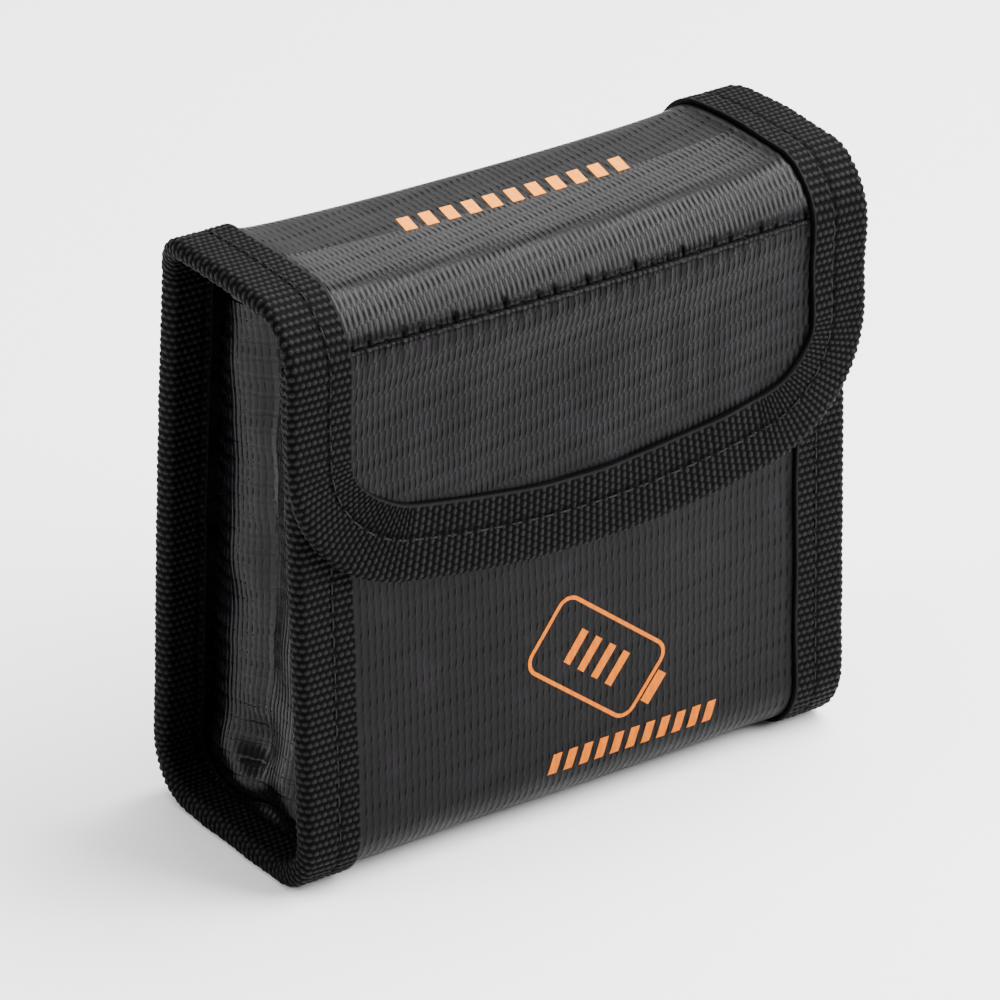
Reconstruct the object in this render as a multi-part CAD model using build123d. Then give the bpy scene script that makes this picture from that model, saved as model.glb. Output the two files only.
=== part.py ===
from build123d import *
import math
import os

# A small fire-resistant pouch for batteries, sewn from coated glass-fibre cloth.
# Z is up, X runs along the width, and the front wall faces -Y.
# One long strip of cloth is the front, base and back wall, then folds over the mouth as the lid and
# down over the front as the flap. Two recessed gussets close the ends. Folded webbing binds every edge.
# The lid turns on the fold at the top of the back, and the flap on the fold along the lid's front edge.

# ---- overall sizes, in millimetres ----
BODY_WIDTH = 110.0  # over the end bindings
LID_OVERHANG = 2.0  # how far the lid's edges stand past the body at each end
HEIGHT = 106.0  # floor to the lid's binding
BASE_DEPTH = 49.5  # over the bindings at the floor
FRONT_LEAN = 3.4  # how far the front wall leans back over the height
BACK_LEAN = 8.5  # how far the back wall leans forward over the height

# ---- cloth layers ----
CLOTH_T = 0.45  # coated outer cloth
CORE_T = 0.9  # glass-fibre felt between cloth and lining
LINING_T = 0.35
WALL_T = CLOTH_T + CORE_T + LINING_T
FLAP_T = CLOTH_T + LINING_T  # the felt stops at the lid
GUSSET_T = CLOTH_T + LINING_T

# ---- bindings: webbing folded in half over an edge ----
TAPE_T = 0.7
TAPE_REACH = 10.6  # how far the folded webbing covers each face at the body's ends
FLAP_TAPE_REACH = 12.2  # the same along the lid's sides and round the flap
MOUTH_TAPE_REACH = 7.0
TAPE_GAP = 0.2  # between a recessed gusset and the bindings beside it

# ---- folds and corners, as radii of the outer cloth ----
BASE_R = 10.0
BACK_FOLD_R = 8.0
FRONT_FOLD_R = 9.0
FLAP_CORNER_R = 25.0  # of the flap's bound edge
FLAP_BOW_R = 186.0  # of the flap's slightly bowed lower edge

# ---- heights ----
MOUTH_Z = 95.0  # top of the front wall and of the gussets
FLAP_LOW_Z = 51.4  # lowest point of the flap's bound edge

# ---- clearances ----
FLAP_CLEAR = 0.5  # between the flap's binding and the body's
FOLD_GAP = 1.2  # between the solids on the two sides of a fold
PIVOT_PROUD = 0.6  # how far a fold's axis lies outside the bindings

# ---- hook and loop fastener ----
PATCH_WIDTH = 60.0
PATCH_HEIGHT = 16.0
PATCH_LOW_Z = 70.0
PATCH_T = 0.65

# ---- sewing thread ----
THREAD_W = 0.5
THREAD_T = 0.2
STITCH_LENGTH = 2.2
STITCH_PITCH = 3.2
ROW_SHARE = 0.6  # of a binding's reach, from the bound edge to its stitch row
PATCH_ROW_INSET = 1.6
FOLD_ROW_RISE = 1.2  # of the flap's cross row above the end of its fold

# ---- print ----
INK_T = 0.12
LINE_W = 0.7
ICON_LENGTH = 27.0
ICON_WIDTH = 15.0
ICON_CORNER_R = 3.0
ICON_TILT = -38.0  # degrees
ICON_X = 3.0
ICON_Z = 28.5
NUB_LENGTH = 2.0
NUB_WIDTH = 6.0
NUB_GAP = 0.4
CHARGE_BARS = 4
CHARGE_BAR_W = 1.6
CHARGE_BAR_HEIGHT = 6.4
CHARGE_BAR_PITCH = 3.6
FRONT_DASHES = 11
FRONT_DASH_PITCH = 3.2
FRONT_DASH_HEIGHT = 3.6
FRONT_DASHES_X = 10.6
FRONT_DASHES_Z = 11.0
TOP_DASHES = 11
TOP_DASH_PITCH = 4.2
TOP_DASH_HEIGHT = 4.8
TOP_DASHES_X = 1.6
TOP_DASHES_Y = -0.6
DASH_SHARE = 0.55  # of a dash's pitch that is inked
DASH_SLANT = 1.2

BIG = 300.0  # larger than the pouch, for cutting tools
PAST_FOLD = 14.0  # how far a strip is drawn past a corner before it is parted at the fold


def shifted(points, distance):
    """The polyline moved outwards by a distance; outwards is to the right of its travel."""
    lines = []
    for (y0, z0), (y1, z1) in zip(points, points[1:]):
        length = math.hypot(y1 - y0, z1 - z0)
        dy, dz = (y1 - y0) / length, (z1 - z0) / length
        lines.append(((y0 + dz * distance, z0 - dy * distance), (dy, dz)))
    moved = [lines[0][0]]
    for (p, d), (q, e) in zip(lines, lines[1:]):
        turn = d[0] * e[1] - d[1] * e[0]
        along = ((q[0] - p[0]) * e[1] - (q[1] - p[1]) * e[0]) / turn
        moved.append((p[0] + d[0] * along, p[1] + d[1] * along))
    end, direction = points[-1], lines[-1][1]
    moved.append((end[0] + direction[1] * distance, end[1] - direction[0] * distance))
    return moved


# Each wall leans by a slope; a thickness across it is this much longer along Y.
FRONT_SLOPE = FRONT_LEAN / HEIGHT
BACK_SLOPE = BACK_LEAN / HEIGHT
FRONT_STRETCH = math.hypot(1, FRONT_SLOPE)
BACK_STRETCH = math.hypot(1, BACK_SLOPE)

# The Y axis starts at the middle of the whole pouch: the flap's low edge is its foremost point, and
# the round at the foot of the back wall its rearmost.
FLAP_STAND_OFF = TAPE_T + FLAP_CLEAR + TAPE_T + FLAP_T  # flap's cloth face to the front wall's
FLAP_HALF_WIDTH = BODY_WIDTH / 2 + LID_OVERHANG
GUSSET_X = BODY_WIDTH / 2 - TAPE_REACH - TAPE_GAP - GUSSET_T  # inner face of a gusset
BEFORE_FOOT = FLAP_STAND_OFF * FRONT_STRETCH - FLAP_LOW_Z * FRONT_SLOPE
BEHIND_FOOT = BASE_DEPTH - (BASE_R + TAPE_T) * (BACK_SLOPE + BACK_STRETCH - 1)
FRONT_FOOT_Y = (BEFORE_FOOT - BEHIND_FOOT) / 2


def front_y(z):
    """Y of the front wall's cloth face at a height."""
    return FRONT_FOOT_Y + TAPE_T * FRONT_STRETCH + z * FRONT_SLOPE


def back_y(z):
    """Y of the back wall's cloth face at a height."""
    return FRONT_FOOT_Y + BASE_DEPTH - TAPE_T * BACK_STRETCH - z * BACK_SLOPE


def flap_y(z):
    """Y of the flap's cloth face at a height."""
    return front_y(z) - FLAP_STAND_OFF * FRONT_STRETCH


# The strip's corners, before rounding, on the face of its outer cloth, as (y, z).
BASE_Z = TAPE_T
LID_Z = HEIGHT - TAPE_T
FRONT_MOUTH = (front_y(MOUTH_Z), MOUTH_Z)
FRONT_BASE = (front_y(BASE_Z), BASE_Z)
BACK_BASE = (back_y(BASE_Z), BASE_Z)
BACK_TOP = (back_y(LID_Z), LID_Z)
FRONT_TOP = (flap_y(LID_Z), LID_Z)
FLAP_END = (flap_y(FLAP_LOW_Z), FLAP_LOW_Z)
BACK_BELOW_FOLD = (back_y(LID_Z - PAST_FOLD), LID_Z - PAST_FOLD)
LID_PAST_BACK_FOLD = (BACK_TOP[0] - PAST_FOLD, LID_Z)
LID_BEFORE_FRONT_FOLD = (FRONT_TOP[0] + PAST_FOLD, LID_Z)
FLAP_BELOW_FOLD = (flap_y(LID_Z - PAST_FOLD), LID_Z - PAST_FOLD)


def rounded_path(points, radii, offset):
    """The rounded polyline through the points, moved outwards, as a wire in the YZ plane."""
    corners = [(0, y, z) for y, z in shifted(points, offset)]
    if not radii:
        return Polyline(*corners)
    return FilletPolyline(*corners, radius=[r + offset for r in radii])


def layer(points, radii, outer, inner, half_width):
    """A layer of the strip between two offsets from the cloth face, across the width."""
    outside = rounded_path(points, radii, outer)
    inside = rounded_path(points, radii, inner)
    ends = [Line(outside @ 0, inside @ 0), Line(outside @ 1, inside @ 1)]
    face = make_face(outside.edges() + inside.edges() + ShapeList([e.edge() for e in ends]))
    return extrude(face, amount=half_width, dir=(1, 0, 0), both=True)


class Fold:
    """The fold of the strip at one of its corners."""

    def __init__(self, before, corner, after, radius):
        towards = Vector(0, *corner)
        arriving = (towards - Vector(0, *before)).normalized()
        leaving = (Vector(0, *after) - towards).normalized()
        self.tangent = (arriving + leaving).normalized()
        self.outward = (arriving - leaving).normalized()
        half_turn = math.radians(arriving.get_angle(leaving)) / 2
        self.centre = towards - self.outward * (radius / math.cos(half_turn))
        self.pivot = self.centre + self.outward * (radius + TAPE_T + PIVOT_PROUD)

    def tool(self, side):
        """A block that removes the strip on one side of the fold: 1 is after it, -1 before."""
        plane = Plane(origin=self.centre, x_dir=self.tangent, z_dir=(1, 0, 0))
        shift = side * (PAST_FOLD - FOLD_GAP / 2)
        inward_reach, outward_reach = PAST_FOLD / 3, PAST_FOLD
        middle = (inward_reach - outward_reach) / 2
        return plane * Pos(shift, middle, 0) * Box(2 * PAST_FOLD, inward_reach + outward_reach, BIG)


BACK_FOLD = Fold(BACK_BASE, BACK_TOP, FRONT_TOP, BACK_FOLD_R)
FRONT_FOLD = Fold(BACK_TOP, FRONT_TOP, FLAP_END, FRONT_FOLD_R)


def body_layer(outer, inner, half_width):
    """A layer of the front, base and back wall, up to the back fold."""
    points = [FRONT_MOUTH, FRONT_BASE, BACK_BASE, BACK_TOP, LID_PAST_BACK_FOLD]
    strip = layer(points, [BASE_R, BASE_R, BACK_FOLD_R], outer, inner, half_width)
    return strip - BACK_FOLD.tool(1)


def lid_layer(outer, inner, half_width):
    """A layer of the lid, between the two folds."""
    points = [BACK_BELOW_FOLD, BACK_TOP, FRONT_TOP, FLAP_BELOW_FOLD]
    strip = layer(points, [BACK_FOLD_R, FRONT_FOLD_R], outer, inner, half_width)
    return strip - BACK_FOLD.tool(-1) - FRONT_FOLD.tool(1)


def flap_layer(outer, inner):
    """A layer of the flap, not yet cut to its outline."""
    points = [LID_BEFORE_FRONT_FOLD, FRONT_TOP, FLAP_END]
    strip = layer(points, [FRONT_FOLD_R], outer, inner, FLAP_HALF_WIDTH)
    return strip - FRONT_FOLD.tool(-1)


def flap_corner_z():
    """Height of the centres of the flap's corner arcs, which touch its sides and its bow."""
    inset = FLAP_HALF_WIDTH - FLAP_CORNER_R
    reach = FLAP_BOW_R - FLAP_CORNER_R
    return FLAP_LOW_Z + FLAP_BOW_R - math.sqrt(reach**2 - inset**2)


def flap_edge(inset):
    """The flap's edge from side to side, in the XZ plane, moved inwards: side arcs and a bow."""
    corner_x = FLAP_HALF_WIDTH - FLAP_CORNER_R
    corner_z = flap_corner_z()
    bow_z = FLAP_LOW_Z + FLAP_BOW_R
    radius = FLAP_CORNER_R - inset
    turn = math.atan2(corner_x, bow_z - corner_z)
    meets = (corner_x + radius * math.sin(turn), corner_z - radius * math.cos(turn))
    between = math.pi / 4 - turn / 2
    middle = (corner_x + radius * math.cos(between), corner_z - radius * math.sin(between))
    side = (FLAP_HALF_WIDTH - inset, corner_z)
    bottom = (0, FLAP_LOW_Z + inset)

    def at(point, mirror=1):
        return (mirror * point[0], 0, point[1])

    right = ThreePointArc(at(side), at(middle), at(meets))
    bow = ThreePointArc(at(meets), at(bottom), at(meets, -1))
    left = ThreePointArc(at(meets, -1), at(middle, -1), at(side, -1))
    return right + bow + left


def flap_outline(inset):
    """A prism along Y that holds the flap's outline, moved inwards."""
    edge = flap_edge(inset)
    half = FLAP_HALF_WIDTH - inset
    corners = [(half, 0, flap_corner_z()), (half, 0, BIG), (-half, 0, BIG), (-half, 0, flap_corner_z())]
    sides = Polyline(*corners)
    return extrude(make_face(edge.edges() + sides.edges()), amount=BIG, dir=(0, 1, 0), both=True)


def half_space_x(side, start):
    """A block that keeps what lies past a distance from the middle, on one side."""
    return Pos(side * (start + BIG / 2), 0, 0) * Box(BIG, BIG, 2 * BIG)


def bound_edge(make_layer, thickness, half_width, reach, side):
    """Webbing folded over one long edge of a strip of a given thickness."""
    around = make_layer(TAPE_T, -thickness - TAPE_T, half_width)
    inside = make_layer(0, -thickness, half_width - TAPE_T)
    return (around - inside) & half_space_x(side, half_width - reach)


# ---- the fixed body ----
def gusset_region(offset, x0, x1, side):
    """A block of the space between the walls, up to the mouth, from one distance to another."""
    above = MOUTH_Z + BASE_R
    points = [(front_y(above), above), FRONT_BASE, BACK_BASE, (back_y(above), above)]
    path = rounded_path(points, [BASE_R, BASE_R], offset)
    lid = Line(path @ 1, path @ 0)
    block = extrude(make_face(path.edges() + ShapeList([lid.edge()])), amount=x1 - x0, dir=(side, 0, 0))
    below = Pos(0, 0, MOUTH_Z - BIG / 2) * Box(BIG, BIG, BIG)
    return (Pos(side * x0, 0, 0) * block) & below


def gusset_tray(outer, thickness, panel_x, side):
    """A recessed end panel with a seam flange that lies on the walls and points outwards."""
    edge_x = BODY_WIDTH / 2 - TAPE_T
    tray = gusset_region(outer, panel_x, edge_x, side)
    return tray - gusset_region(outer - thickness, panel_x + thickness, BIG / 2, side)


# ---- placed on the leaning front faces ----
def front_plane(x, z, stand_off):
    """A plane on the front wall, or parallel to it, with its normal pointing out."""
    normal = Vector(0, -1, FRONT_SLOPE).normalized()
    origin = Vector(x, front_y(z), z) + normal * stand_off
    return Plane(origin=origin, x_dir=(1, 0, 0), z_dir=normal)


def mouth_binding():
    """Webbing folded over the front wall's top edge, between the end bindings."""
    width = 2 * (GUSSET_X - TAPE_GAP)
    plane = front_plane(0, MOUTH_Z, -WALL_T / 2)
    whole = Box(width, MOUTH_TAPE_REACH + TAPE_T, WALL_T + 2 * TAPE_T)
    slot = Pos(0, -MOUTH_TAPE_REACH / 2, 0) * Box(width, MOUTH_TAPE_REACH, WALL_T)
    return plane * (Pos(0, (TAPE_T - MOUTH_TAPE_REACH) / 2, 0) * whole - slot)


def patch(inner, outer):
    """A rectangle of hook or loop tape between two distances from the front wall."""
    middle_z = PATCH_LOW_Z + PATCH_HEIGHT / 2
    plane = front_plane(0, middle_z, (inner + outer) / 2)
    return plane * Box(PATCH_WIDTH, PATCH_HEIGHT, outer - inner)


def stitch(point, along, normal):
    """One stitch that lies on a face: a short flat bar of thread."""
    plane = Plane(origin=point, x_dir=along, z_dir=normal)
    return plane * Pos(0, 0, THREAD_T / 2) * Box(STITCH_LENGTH, THREAD_W, THREAD_T)


def spaced(length):
    """The shares of a row's length at which its stitches lie."""
    count = int((length - STITCH_LENGTH) / STITCH_PITCH) + 1
    start = (length - (count - 1) * STITCH_PITCH) / 2
    return [(start + i * STITCH_PITCH) / length for i in range(count)]


def row_on_strip(start, end, x):
    """Stitches on a straight stretch of a binding's outer face, between two points of the strip."""
    path = rounded_path([start, end], [], TAPE_T)
    along = path % 0
    normal = Vector(0, along.Z, -along.Y)
    return [stitch(path @ share + Vector(x, 0, 0), along, normal) for share in spaced(path.length)]


def row_on_face(x0, x1, z, face):
    """Stitches across a front face, from one x to another, at a height."""
    stitches = []
    for share in spaced(x1 - x0):
        plane = front_plane(x0 + share * (x1 - x0), z, face)
        stitches.append(stitch(plane.origin, plane.x_dir, plane.z_dir))
    return stitches


def patch_stitches(face, outward):
    """Stitches round a patch, on a face parallel to the front wall."""
    half_x = PATCH_WIDTH / 2 - PATCH_ROW_INSET
    low = PATCH_LOW_Z + PATCH_ROW_INSET
    high = PATCH_LOW_Z + PATCH_HEIGHT - PATCH_ROW_INSET
    stitches = []
    for z in (low, high):
        for share in spaced(2 * half_x):
            plane = front_plane(-half_x + share * 2 * half_x, z, face)
            stitches.append(stitch(plane.origin, plane.x_dir, plane.z_dir * outward))
    for x in (-half_x, half_x):
        for share in spaced(high - low - 2 * THREAD_W):
            z = low + THREAD_W + share * (high - low - 2 * THREAD_W)
            plane = front_plane(x, z, face)
            stitches.append(stitch(plane.origin, plane.y_dir, plane.z_dir * outward))
    return stitches


def flap_edge_stitches(face):
    """Stitches down the flap's sides and round its corners and bow, on its outer face."""
    edge = flap_edge(ROW_SHARE * FLAP_TAPE_REACH)
    fold_z = FRONT_FOLD.centre.Z
    sides = [Line(end, (end.X, 0, fold_z)) for end in (edge @ 0, edge @ 1)]
    wire = Wire(edge.edges() + ShapeList([side.edge() for side in sides]))
    stitches = []
    for share in spaced(wire.length):
        point, along = wire @ share, wire % share
        plane = front_plane(point.X, point.Z, face)
        in_plane = along - plane.z_dir * along.dot(plane.z_dir)
        stitches.append(stitch(plane.origin, in_plane, plane.z_dir))
    return stitches


def dashes(plane, count, pitch, height):
    """A row of slanted ink bars, centred on a plane."""
    bars = []
    half_w, half_h = pitch * DASH_SHARE / 2, height / 2
    for i in range(count):
        x = (i - (count - 1) / 2) * pitch
        low = [(x - half_w - DASH_SLANT / 2, -half_h), (x + half_w - DASH_SLANT / 2, -half_h)]
        high = [(x + half_w + DASH_SLANT / 2, half_h), (x - half_w + DASH_SLANT / 2, half_h)]
        bar = plane * make_face(Polyline(*low, *high, close=True))
        bars.append(extrude(bar, amount=INK_T, dir=plane.z_dir))
    return bars


def battery_icon():
    """A tilted battery outline with a terminal and charge bars."""
    plane = front_plane(ICON_X, ICON_Z, 0)
    case = RectangleRounded(ICON_LENGTH, ICON_WIDTH, ICON_CORNER_R)
    case -= RectangleRounded(ICON_LENGTH - 2 * LINE_W, ICON_WIDTH - 2 * LINE_W, ICON_CORNER_R - LINE_W)
    shapes = [case, Pos((ICON_LENGTH + NUB_LENGTH) / 2 + NUB_GAP, 0) * Rectangle(NUB_LENGTH, NUB_WIDTH)]
    for i in range(CHARGE_BARS):
        x = (i - (CHARGE_BARS - 1) / 2) * CHARGE_BAR_PITCH
        shapes.append(Pos(x, 0) * Rectangle(CHARGE_BAR_W, CHARGE_BAR_HEIGHT))
    tilted = [plane * Rot(0, 0, ICON_TILT) * shape for shape in shapes]
    return [extrude(shape, amount=INK_T, dir=plane.z_dir) for shape in tilted]


def pouch():
    """Every sub-part, by node name."""
    half = BODY_WIDTH / 2
    nodes = {}
    edge = half - TAPE_T
    nodes["outer_cloth"] = body_layer(0, -CLOTH_T, edge)
    nodes["felt_core"] = body_layer(-CLOTH_T, -CLOTH_T - CORE_T, edge)
    nodes["lining"] = body_layer(-CLOTH_T - CORE_T, -WALL_T, edge)
    for side, name in ((-1, "left"), (1, "right")):
        nodes["gusset_lining_" + name] = gusset_tray(-WALL_T, LINING_T, GUSSET_X, side)
        cloth_x = GUSSET_X + LINING_T
        nodes["gusset_cloth_" + name] = gusset_tray(-WALL_T - LINING_T, CLOTH_T, cloth_x, side)
        nodes["end_binding_" + name] = bound_edge(body_layer, WALL_T + GUSSET_T, half, TAPE_REACH, side)
        row_x = side * (half - ROW_SHARE * TAPE_REACH)
        front_row = row_on_strip(FRONT_MOUTH, (front_y(BASE_R), BASE_R), row_x)
        back_row = row_on_strip((back_y(BASE_R), BASE_R), BACK_BELOW_FOLD, row_x)
        nodes["end_stitches_" + name] = front_row + back_row
    nodes["mouth_binding"] = mouth_binding()
    nodes["loop_patch"] = patch(0, PATCH_T)
    nodes["loop_patch_stitches"] = patch_stitches(PATCH_T, 1)

    lid_edge = FLAP_HALF_WIDTH - TAPE_T
    nodes["lid_cloth"] = lid_layer(0, -CLOTH_T, lid_edge)
    nodes["lid_felt"] = lid_layer(-CLOTH_T, -CLOTH_T - CORE_T, lid_edge)
    nodes["lid_lining"] = lid_layer(-CLOTH_T - CORE_T, -WALL_T, lid_edge)
    for side, name in ((-1, "left"), (1, "right")):
        tape = bound_edge(lid_layer, WALL_T, FLAP_HALF_WIDTH, FLAP_TAPE_REACH, side)
        nodes["lid_binding_" + name] = tape
        row_x = side * (FLAP_HALF_WIDTH - ROW_SHARE * FLAP_TAPE_REACH)
        lid_start, lid_end = (BACK_TOP[0] - BACK_FOLD_R, LID_Z), (FRONT_TOP[0] + FRONT_FOLD_R, LID_Z)
        nodes["lid_stitches_" + name] = row_on_strip(lid_start, lid_end, row_x)

    cloth_cut, tape_cut = flap_outline(TAPE_T), flap_outline(FLAP_TAPE_REACH)
    nodes["flap_cloth"] = flap_layer(0, -CLOTH_T) & cloth_cut
    nodes["flap_lining"] = flap_layer(-CLOTH_T, -FLAP_T) & cloth_cut
    around = flap_layer(TAPE_T, -FLAP_T - TAPE_T)
    inside = flap_layer(0, -FLAP_T) & cloth_cut
    nodes["flap_binding"] = (around & flap_outline(0)) - inside - (around & tape_cut)
    nodes["flap_edge_stitches"] = flap_edge_stitches(FLAP_STAND_OFF + TAPE_T)
    inner_face = FLAP_STAND_OFF - FLAP_T
    nodes["hook_patch"] = patch(inner_face - PATCH_T, inner_face)
    half_row = FLAP_HALF_WIDTH - FLAP_TAPE_REACH
    row_z = FRONT_FOLD.centre.Z + FOLD_ROW_RISE
    nodes["fold_stitches"] = row_on_face(-half_row, half_row, row_z, FLAP_STAND_OFF)

    nodes["front_icon"] = battery_icon()
    front_bars = front_plane(FRONT_DASHES_X, FRONT_DASHES_Z, 0)
    nodes["front_dashes"] = dashes(front_bars, FRONT_DASHES, FRONT_DASH_PITCH, FRONT_DASH_HEIGHT)
    top_bars = Plane(origin=(TOP_DASHES_X, TOP_DASHES_Y, LID_Z), x_dir=(1, 0, 0), z_dir=(0, 0, 1))
    nodes["top_dashes"] = dashes(top_bars, TOP_DASHES, TOP_DASH_PITCH, TOP_DASH_HEIGHT)
    return nodes


os.makedirs("parts", exist_ok=True)
for node, shape in pouch().items():
    solids = ShapeList(shape).solids() if isinstance(shape, list) else shape.solids()
    export_step(Compound(children=list(solids)) if len(solids) > 1 else solids[0], f"parts/{node}.step")
for name, fold in (("lid", BACK_FOLD), ("flap", FRONT_FOLD)):
    print(name, "fold axis at y, z:", round(fold.pivot.Y, 4), round(fold.pivot.Z, 4))
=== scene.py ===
# The looks of a small fire-resistant battery pouch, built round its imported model.
# Sizes are in millimetres until a mesh is made, and the blend file's unit is the metre.
# One strip of coated cloth is the front, base, back, lid and flap. A point on it is (x, s): x runs
# across the pouch, and s along the strip from the mouth down the front, under the base, up the back,
# over the lid and down the flap. place() puts such a point in the pouch's frame.
import math

import bpy
import numpy as np
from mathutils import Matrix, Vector


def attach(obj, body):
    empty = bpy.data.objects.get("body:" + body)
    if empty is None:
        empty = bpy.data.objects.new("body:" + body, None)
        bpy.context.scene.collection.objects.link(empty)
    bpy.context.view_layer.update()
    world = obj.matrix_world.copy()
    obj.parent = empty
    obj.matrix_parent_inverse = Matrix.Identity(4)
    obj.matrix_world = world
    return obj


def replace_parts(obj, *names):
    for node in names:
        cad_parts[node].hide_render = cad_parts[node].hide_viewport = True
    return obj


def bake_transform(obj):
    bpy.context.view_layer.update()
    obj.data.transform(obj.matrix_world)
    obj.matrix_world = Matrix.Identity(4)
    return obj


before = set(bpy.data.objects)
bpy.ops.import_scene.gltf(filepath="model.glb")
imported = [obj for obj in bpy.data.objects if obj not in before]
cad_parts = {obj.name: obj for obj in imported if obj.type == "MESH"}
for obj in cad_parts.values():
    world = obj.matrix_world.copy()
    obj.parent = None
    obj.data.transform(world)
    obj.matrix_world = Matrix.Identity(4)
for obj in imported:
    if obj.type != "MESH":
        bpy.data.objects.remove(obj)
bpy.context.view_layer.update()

MM = 0.001

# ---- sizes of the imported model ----
BODY_WIDTH = 110.0
LID_OVERHANG = 2.0
HEIGHT = 106.0
BASE_DEPTH = 49.5
FRONT_SLOPE = 3.4 / HEIGHT
BACK_SLOPE = 8.5 / HEIGHT
FRONT_STRETCH = math.hypot(1, FRONT_SLOPE)
BACK_STRETCH = math.hypot(1, BACK_SLOPE)
CLOTH_T = 0.45
CORE_T = 0.9
LINING_T = 0.35
WALL_T = CLOTH_T + CORE_T + LINING_T
FLAP_T = CLOTH_T + LINING_T
TAPE_T = 0.7
TAPE_REACH = 10.6
FLAP_TAPE_REACH = 12.2
MOUTH_TAPE_REACH = 7.0
FLAP_CLEAR = 0.5
BASE_R = 10.0
BACK_FOLD_R = 8.0
FRONT_FOLD_R = 9.0
FLAP_CORNER_R = 25.0
FLAP_BOW_R = 186.0
MOUTH_Z = 95.0
FLAP_LOW_Z = 51.4
PATCH_WIDTH = 60.0
PATCH_HEIGHT = 16.0
PATCH_LOW_Z = 70.0
THREAD_W = 0.34
STITCH_LENGTH = 2.2
STITCH_PITCH = 3.2
ROW_SHARE = 0.6

FLAP_STAND_OFF = TAPE_T + FLAP_CLEAR + TAPE_T + FLAP_T
HALF_BODY = BODY_WIDTH / 2
HALF_LID = HALF_BODY + LID_OVERHANG
GUSSET_X = HALF_BODY - TAPE_REACH - 0.2
BEFORE_FOOT = FLAP_STAND_OFF * FRONT_STRETCH - FLAP_LOW_Z * FRONT_SLOPE
BEHIND_FOOT = BASE_DEPTH - (BASE_R + TAPE_T) * (BACK_SLOPE + BACK_STRETCH - 1)
FRONT_FOOT_Y = (BEFORE_FOOT - BEHIND_FOOT) / 2
BASE_Z = TAPE_T
LID_Z = HEIGHT - TAPE_T


def front_y(z):
    """Y of the front wall's cloth face at a height."""
    return FRONT_FOOT_Y + TAPE_T * FRONT_STRETCH + z * FRONT_SLOPE


def back_y(z):
    """Y of the back wall's cloth face at a height."""
    return FRONT_FOOT_Y + BASE_DEPTH - TAPE_T * BACK_STRETCH - z * BACK_SLOPE


def flap_y(z):
    """Y of the flap's cloth face at a height."""
    return front_y(z) - FLAP_STAND_OFF * FRONT_STRETCH


# ---- the strip's path, as knots of running length, y, z and direction ----
CORNERS = [
    (front_y(MOUTH_Z), MOUTH_Z),
    (front_y(BASE_Z), BASE_Z),
    (back_y(BASE_Z), BASE_Z),
    (back_y(LID_Z), LID_Z),
    (flap_y(LID_Z), LID_Z),
    (flap_y(FLAP_LOW_Z), FLAP_LOW_Z),
]
RADII = [BASE_R, BASE_R, BACK_FOLD_R, FRONT_FOLD_R]
ARC_STEPS = 40


def strip_knots():
    """The path's knots, and where each rounded corner starts and ends along it."""
    spans = []
    length = 0.0
    knots = []
    start = np.array(CORNERS[0])
    for i, radius in enumerate(RADII):
        corner, after = np.array(CORNERS[i + 1]), np.array(CORNERS[i + 2])
        arriving = corner - start
        arriving = arriving / np.hypot(*arriving)
        leaving = (after - corner) / np.hypot(*(after - corner))
        a0 = math.atan2(arriving[1], arriving[0])
        turn = (math.atan2(leaving[1], leaving[0]) - a0) % (2 * math.pi)
        a0 = a0 if not knots else knots[-1][3]
        tangent = radius * math.tan(turn / 2)
        begin = corner - arriving * tangent
        centre = begin + radius * np.array([-arriving[1], arriving[0]])
        if not knots:
            knots.append((0.0, *start, a0))
        length += np.hypot(*(begin - start))
        first = length
        for k in range(ARC_STEPS + 1):
            angle = a0 + turn * k / ARC_STEPS
            point = centre + radius * np.array([math.sin(angle), -math.cos(angle)])
            knots.append((first + radius * turn * k / ARC_STEPS, *point, angle))
        length = first + radius * turn
        spans.append((first, length))
        start = corner + leaving * tangent
    end = np.array(CORNERS[-1])
    knots.append((length + np.hypot(*(end - start)), *end, knots[-1][3]))
    return np.array(knots), spans


KNOTS, SPANS = strip_knots()
(S_BASE0, S_BASE1), (S_HEEL0, S_HEEL1), (S_BACK0, S_BACK1), (S_FOLD0, S_FOLD1) = SPANS
S_END = KNOTS[-1, 0]
S_MID_LID = (S_BACK1 + S_FOLD0) / 2


def s_front(z):
    """Where a height on the front wall lies along the strip."""
    return (MOUTH_Z - z) * FRONT_STRETCH


def s_flap(z):
    """Where a height on the flap lies along the strip."""
    return S_END - (z - FLAP_LOW_Z) * FRONT_STRETCH


def s_lid(y):
    """Where a place on the lid's flat lies along the strip."""
    return S_BACK1 + (KNOTS[:, 1][np.searchsorted(KNOTS[:, 0], S_BACK1 - 1e-6)] - y)


# ---- how the sewn cloth departs from the flat walls ----
def waves(x, s, seed, size, count=7):
    """Soft random swells about as long as size, from -1 to 1."""
    rng = np.random.default_rng(seed)
    total = np.zeros(np.broadcast(x, s).shape)
    for _ in range(count):
        angle, phase = rng.uniform(0, 2 * math.pi, 2)
        pitch = size * rng.uniform(0.7, 1.5)
        total = total + np.sin(2 * math.pi * (x * math.cos(angle) + s * math.sin(angle)) / pitch + phase)
    return total / math.sqrt(count) / 1.6


def eased(t, lo, hi):
    """0 up to one end and 1 from the other, smooth between them."""
    share = np.clip((t - lo) / (hi - lo), 0, 1)
    return share * share * (3 - 2 * share)


def window(t, lo, hi, soft):
    """1 between two ends and 0 outside them, with soft ends."""
    return eased((t - lo) / soft, 0, 1) * eased((hi - t) / soft, 0, 1)


def dome(t, lo, hi):
    """A parabola that is 1 halfway and 0 at and past both ends."""
    share = np.clip((t - lo) / (hi - lo), 0, 1)
    return 4 * share * (1 - share)


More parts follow.
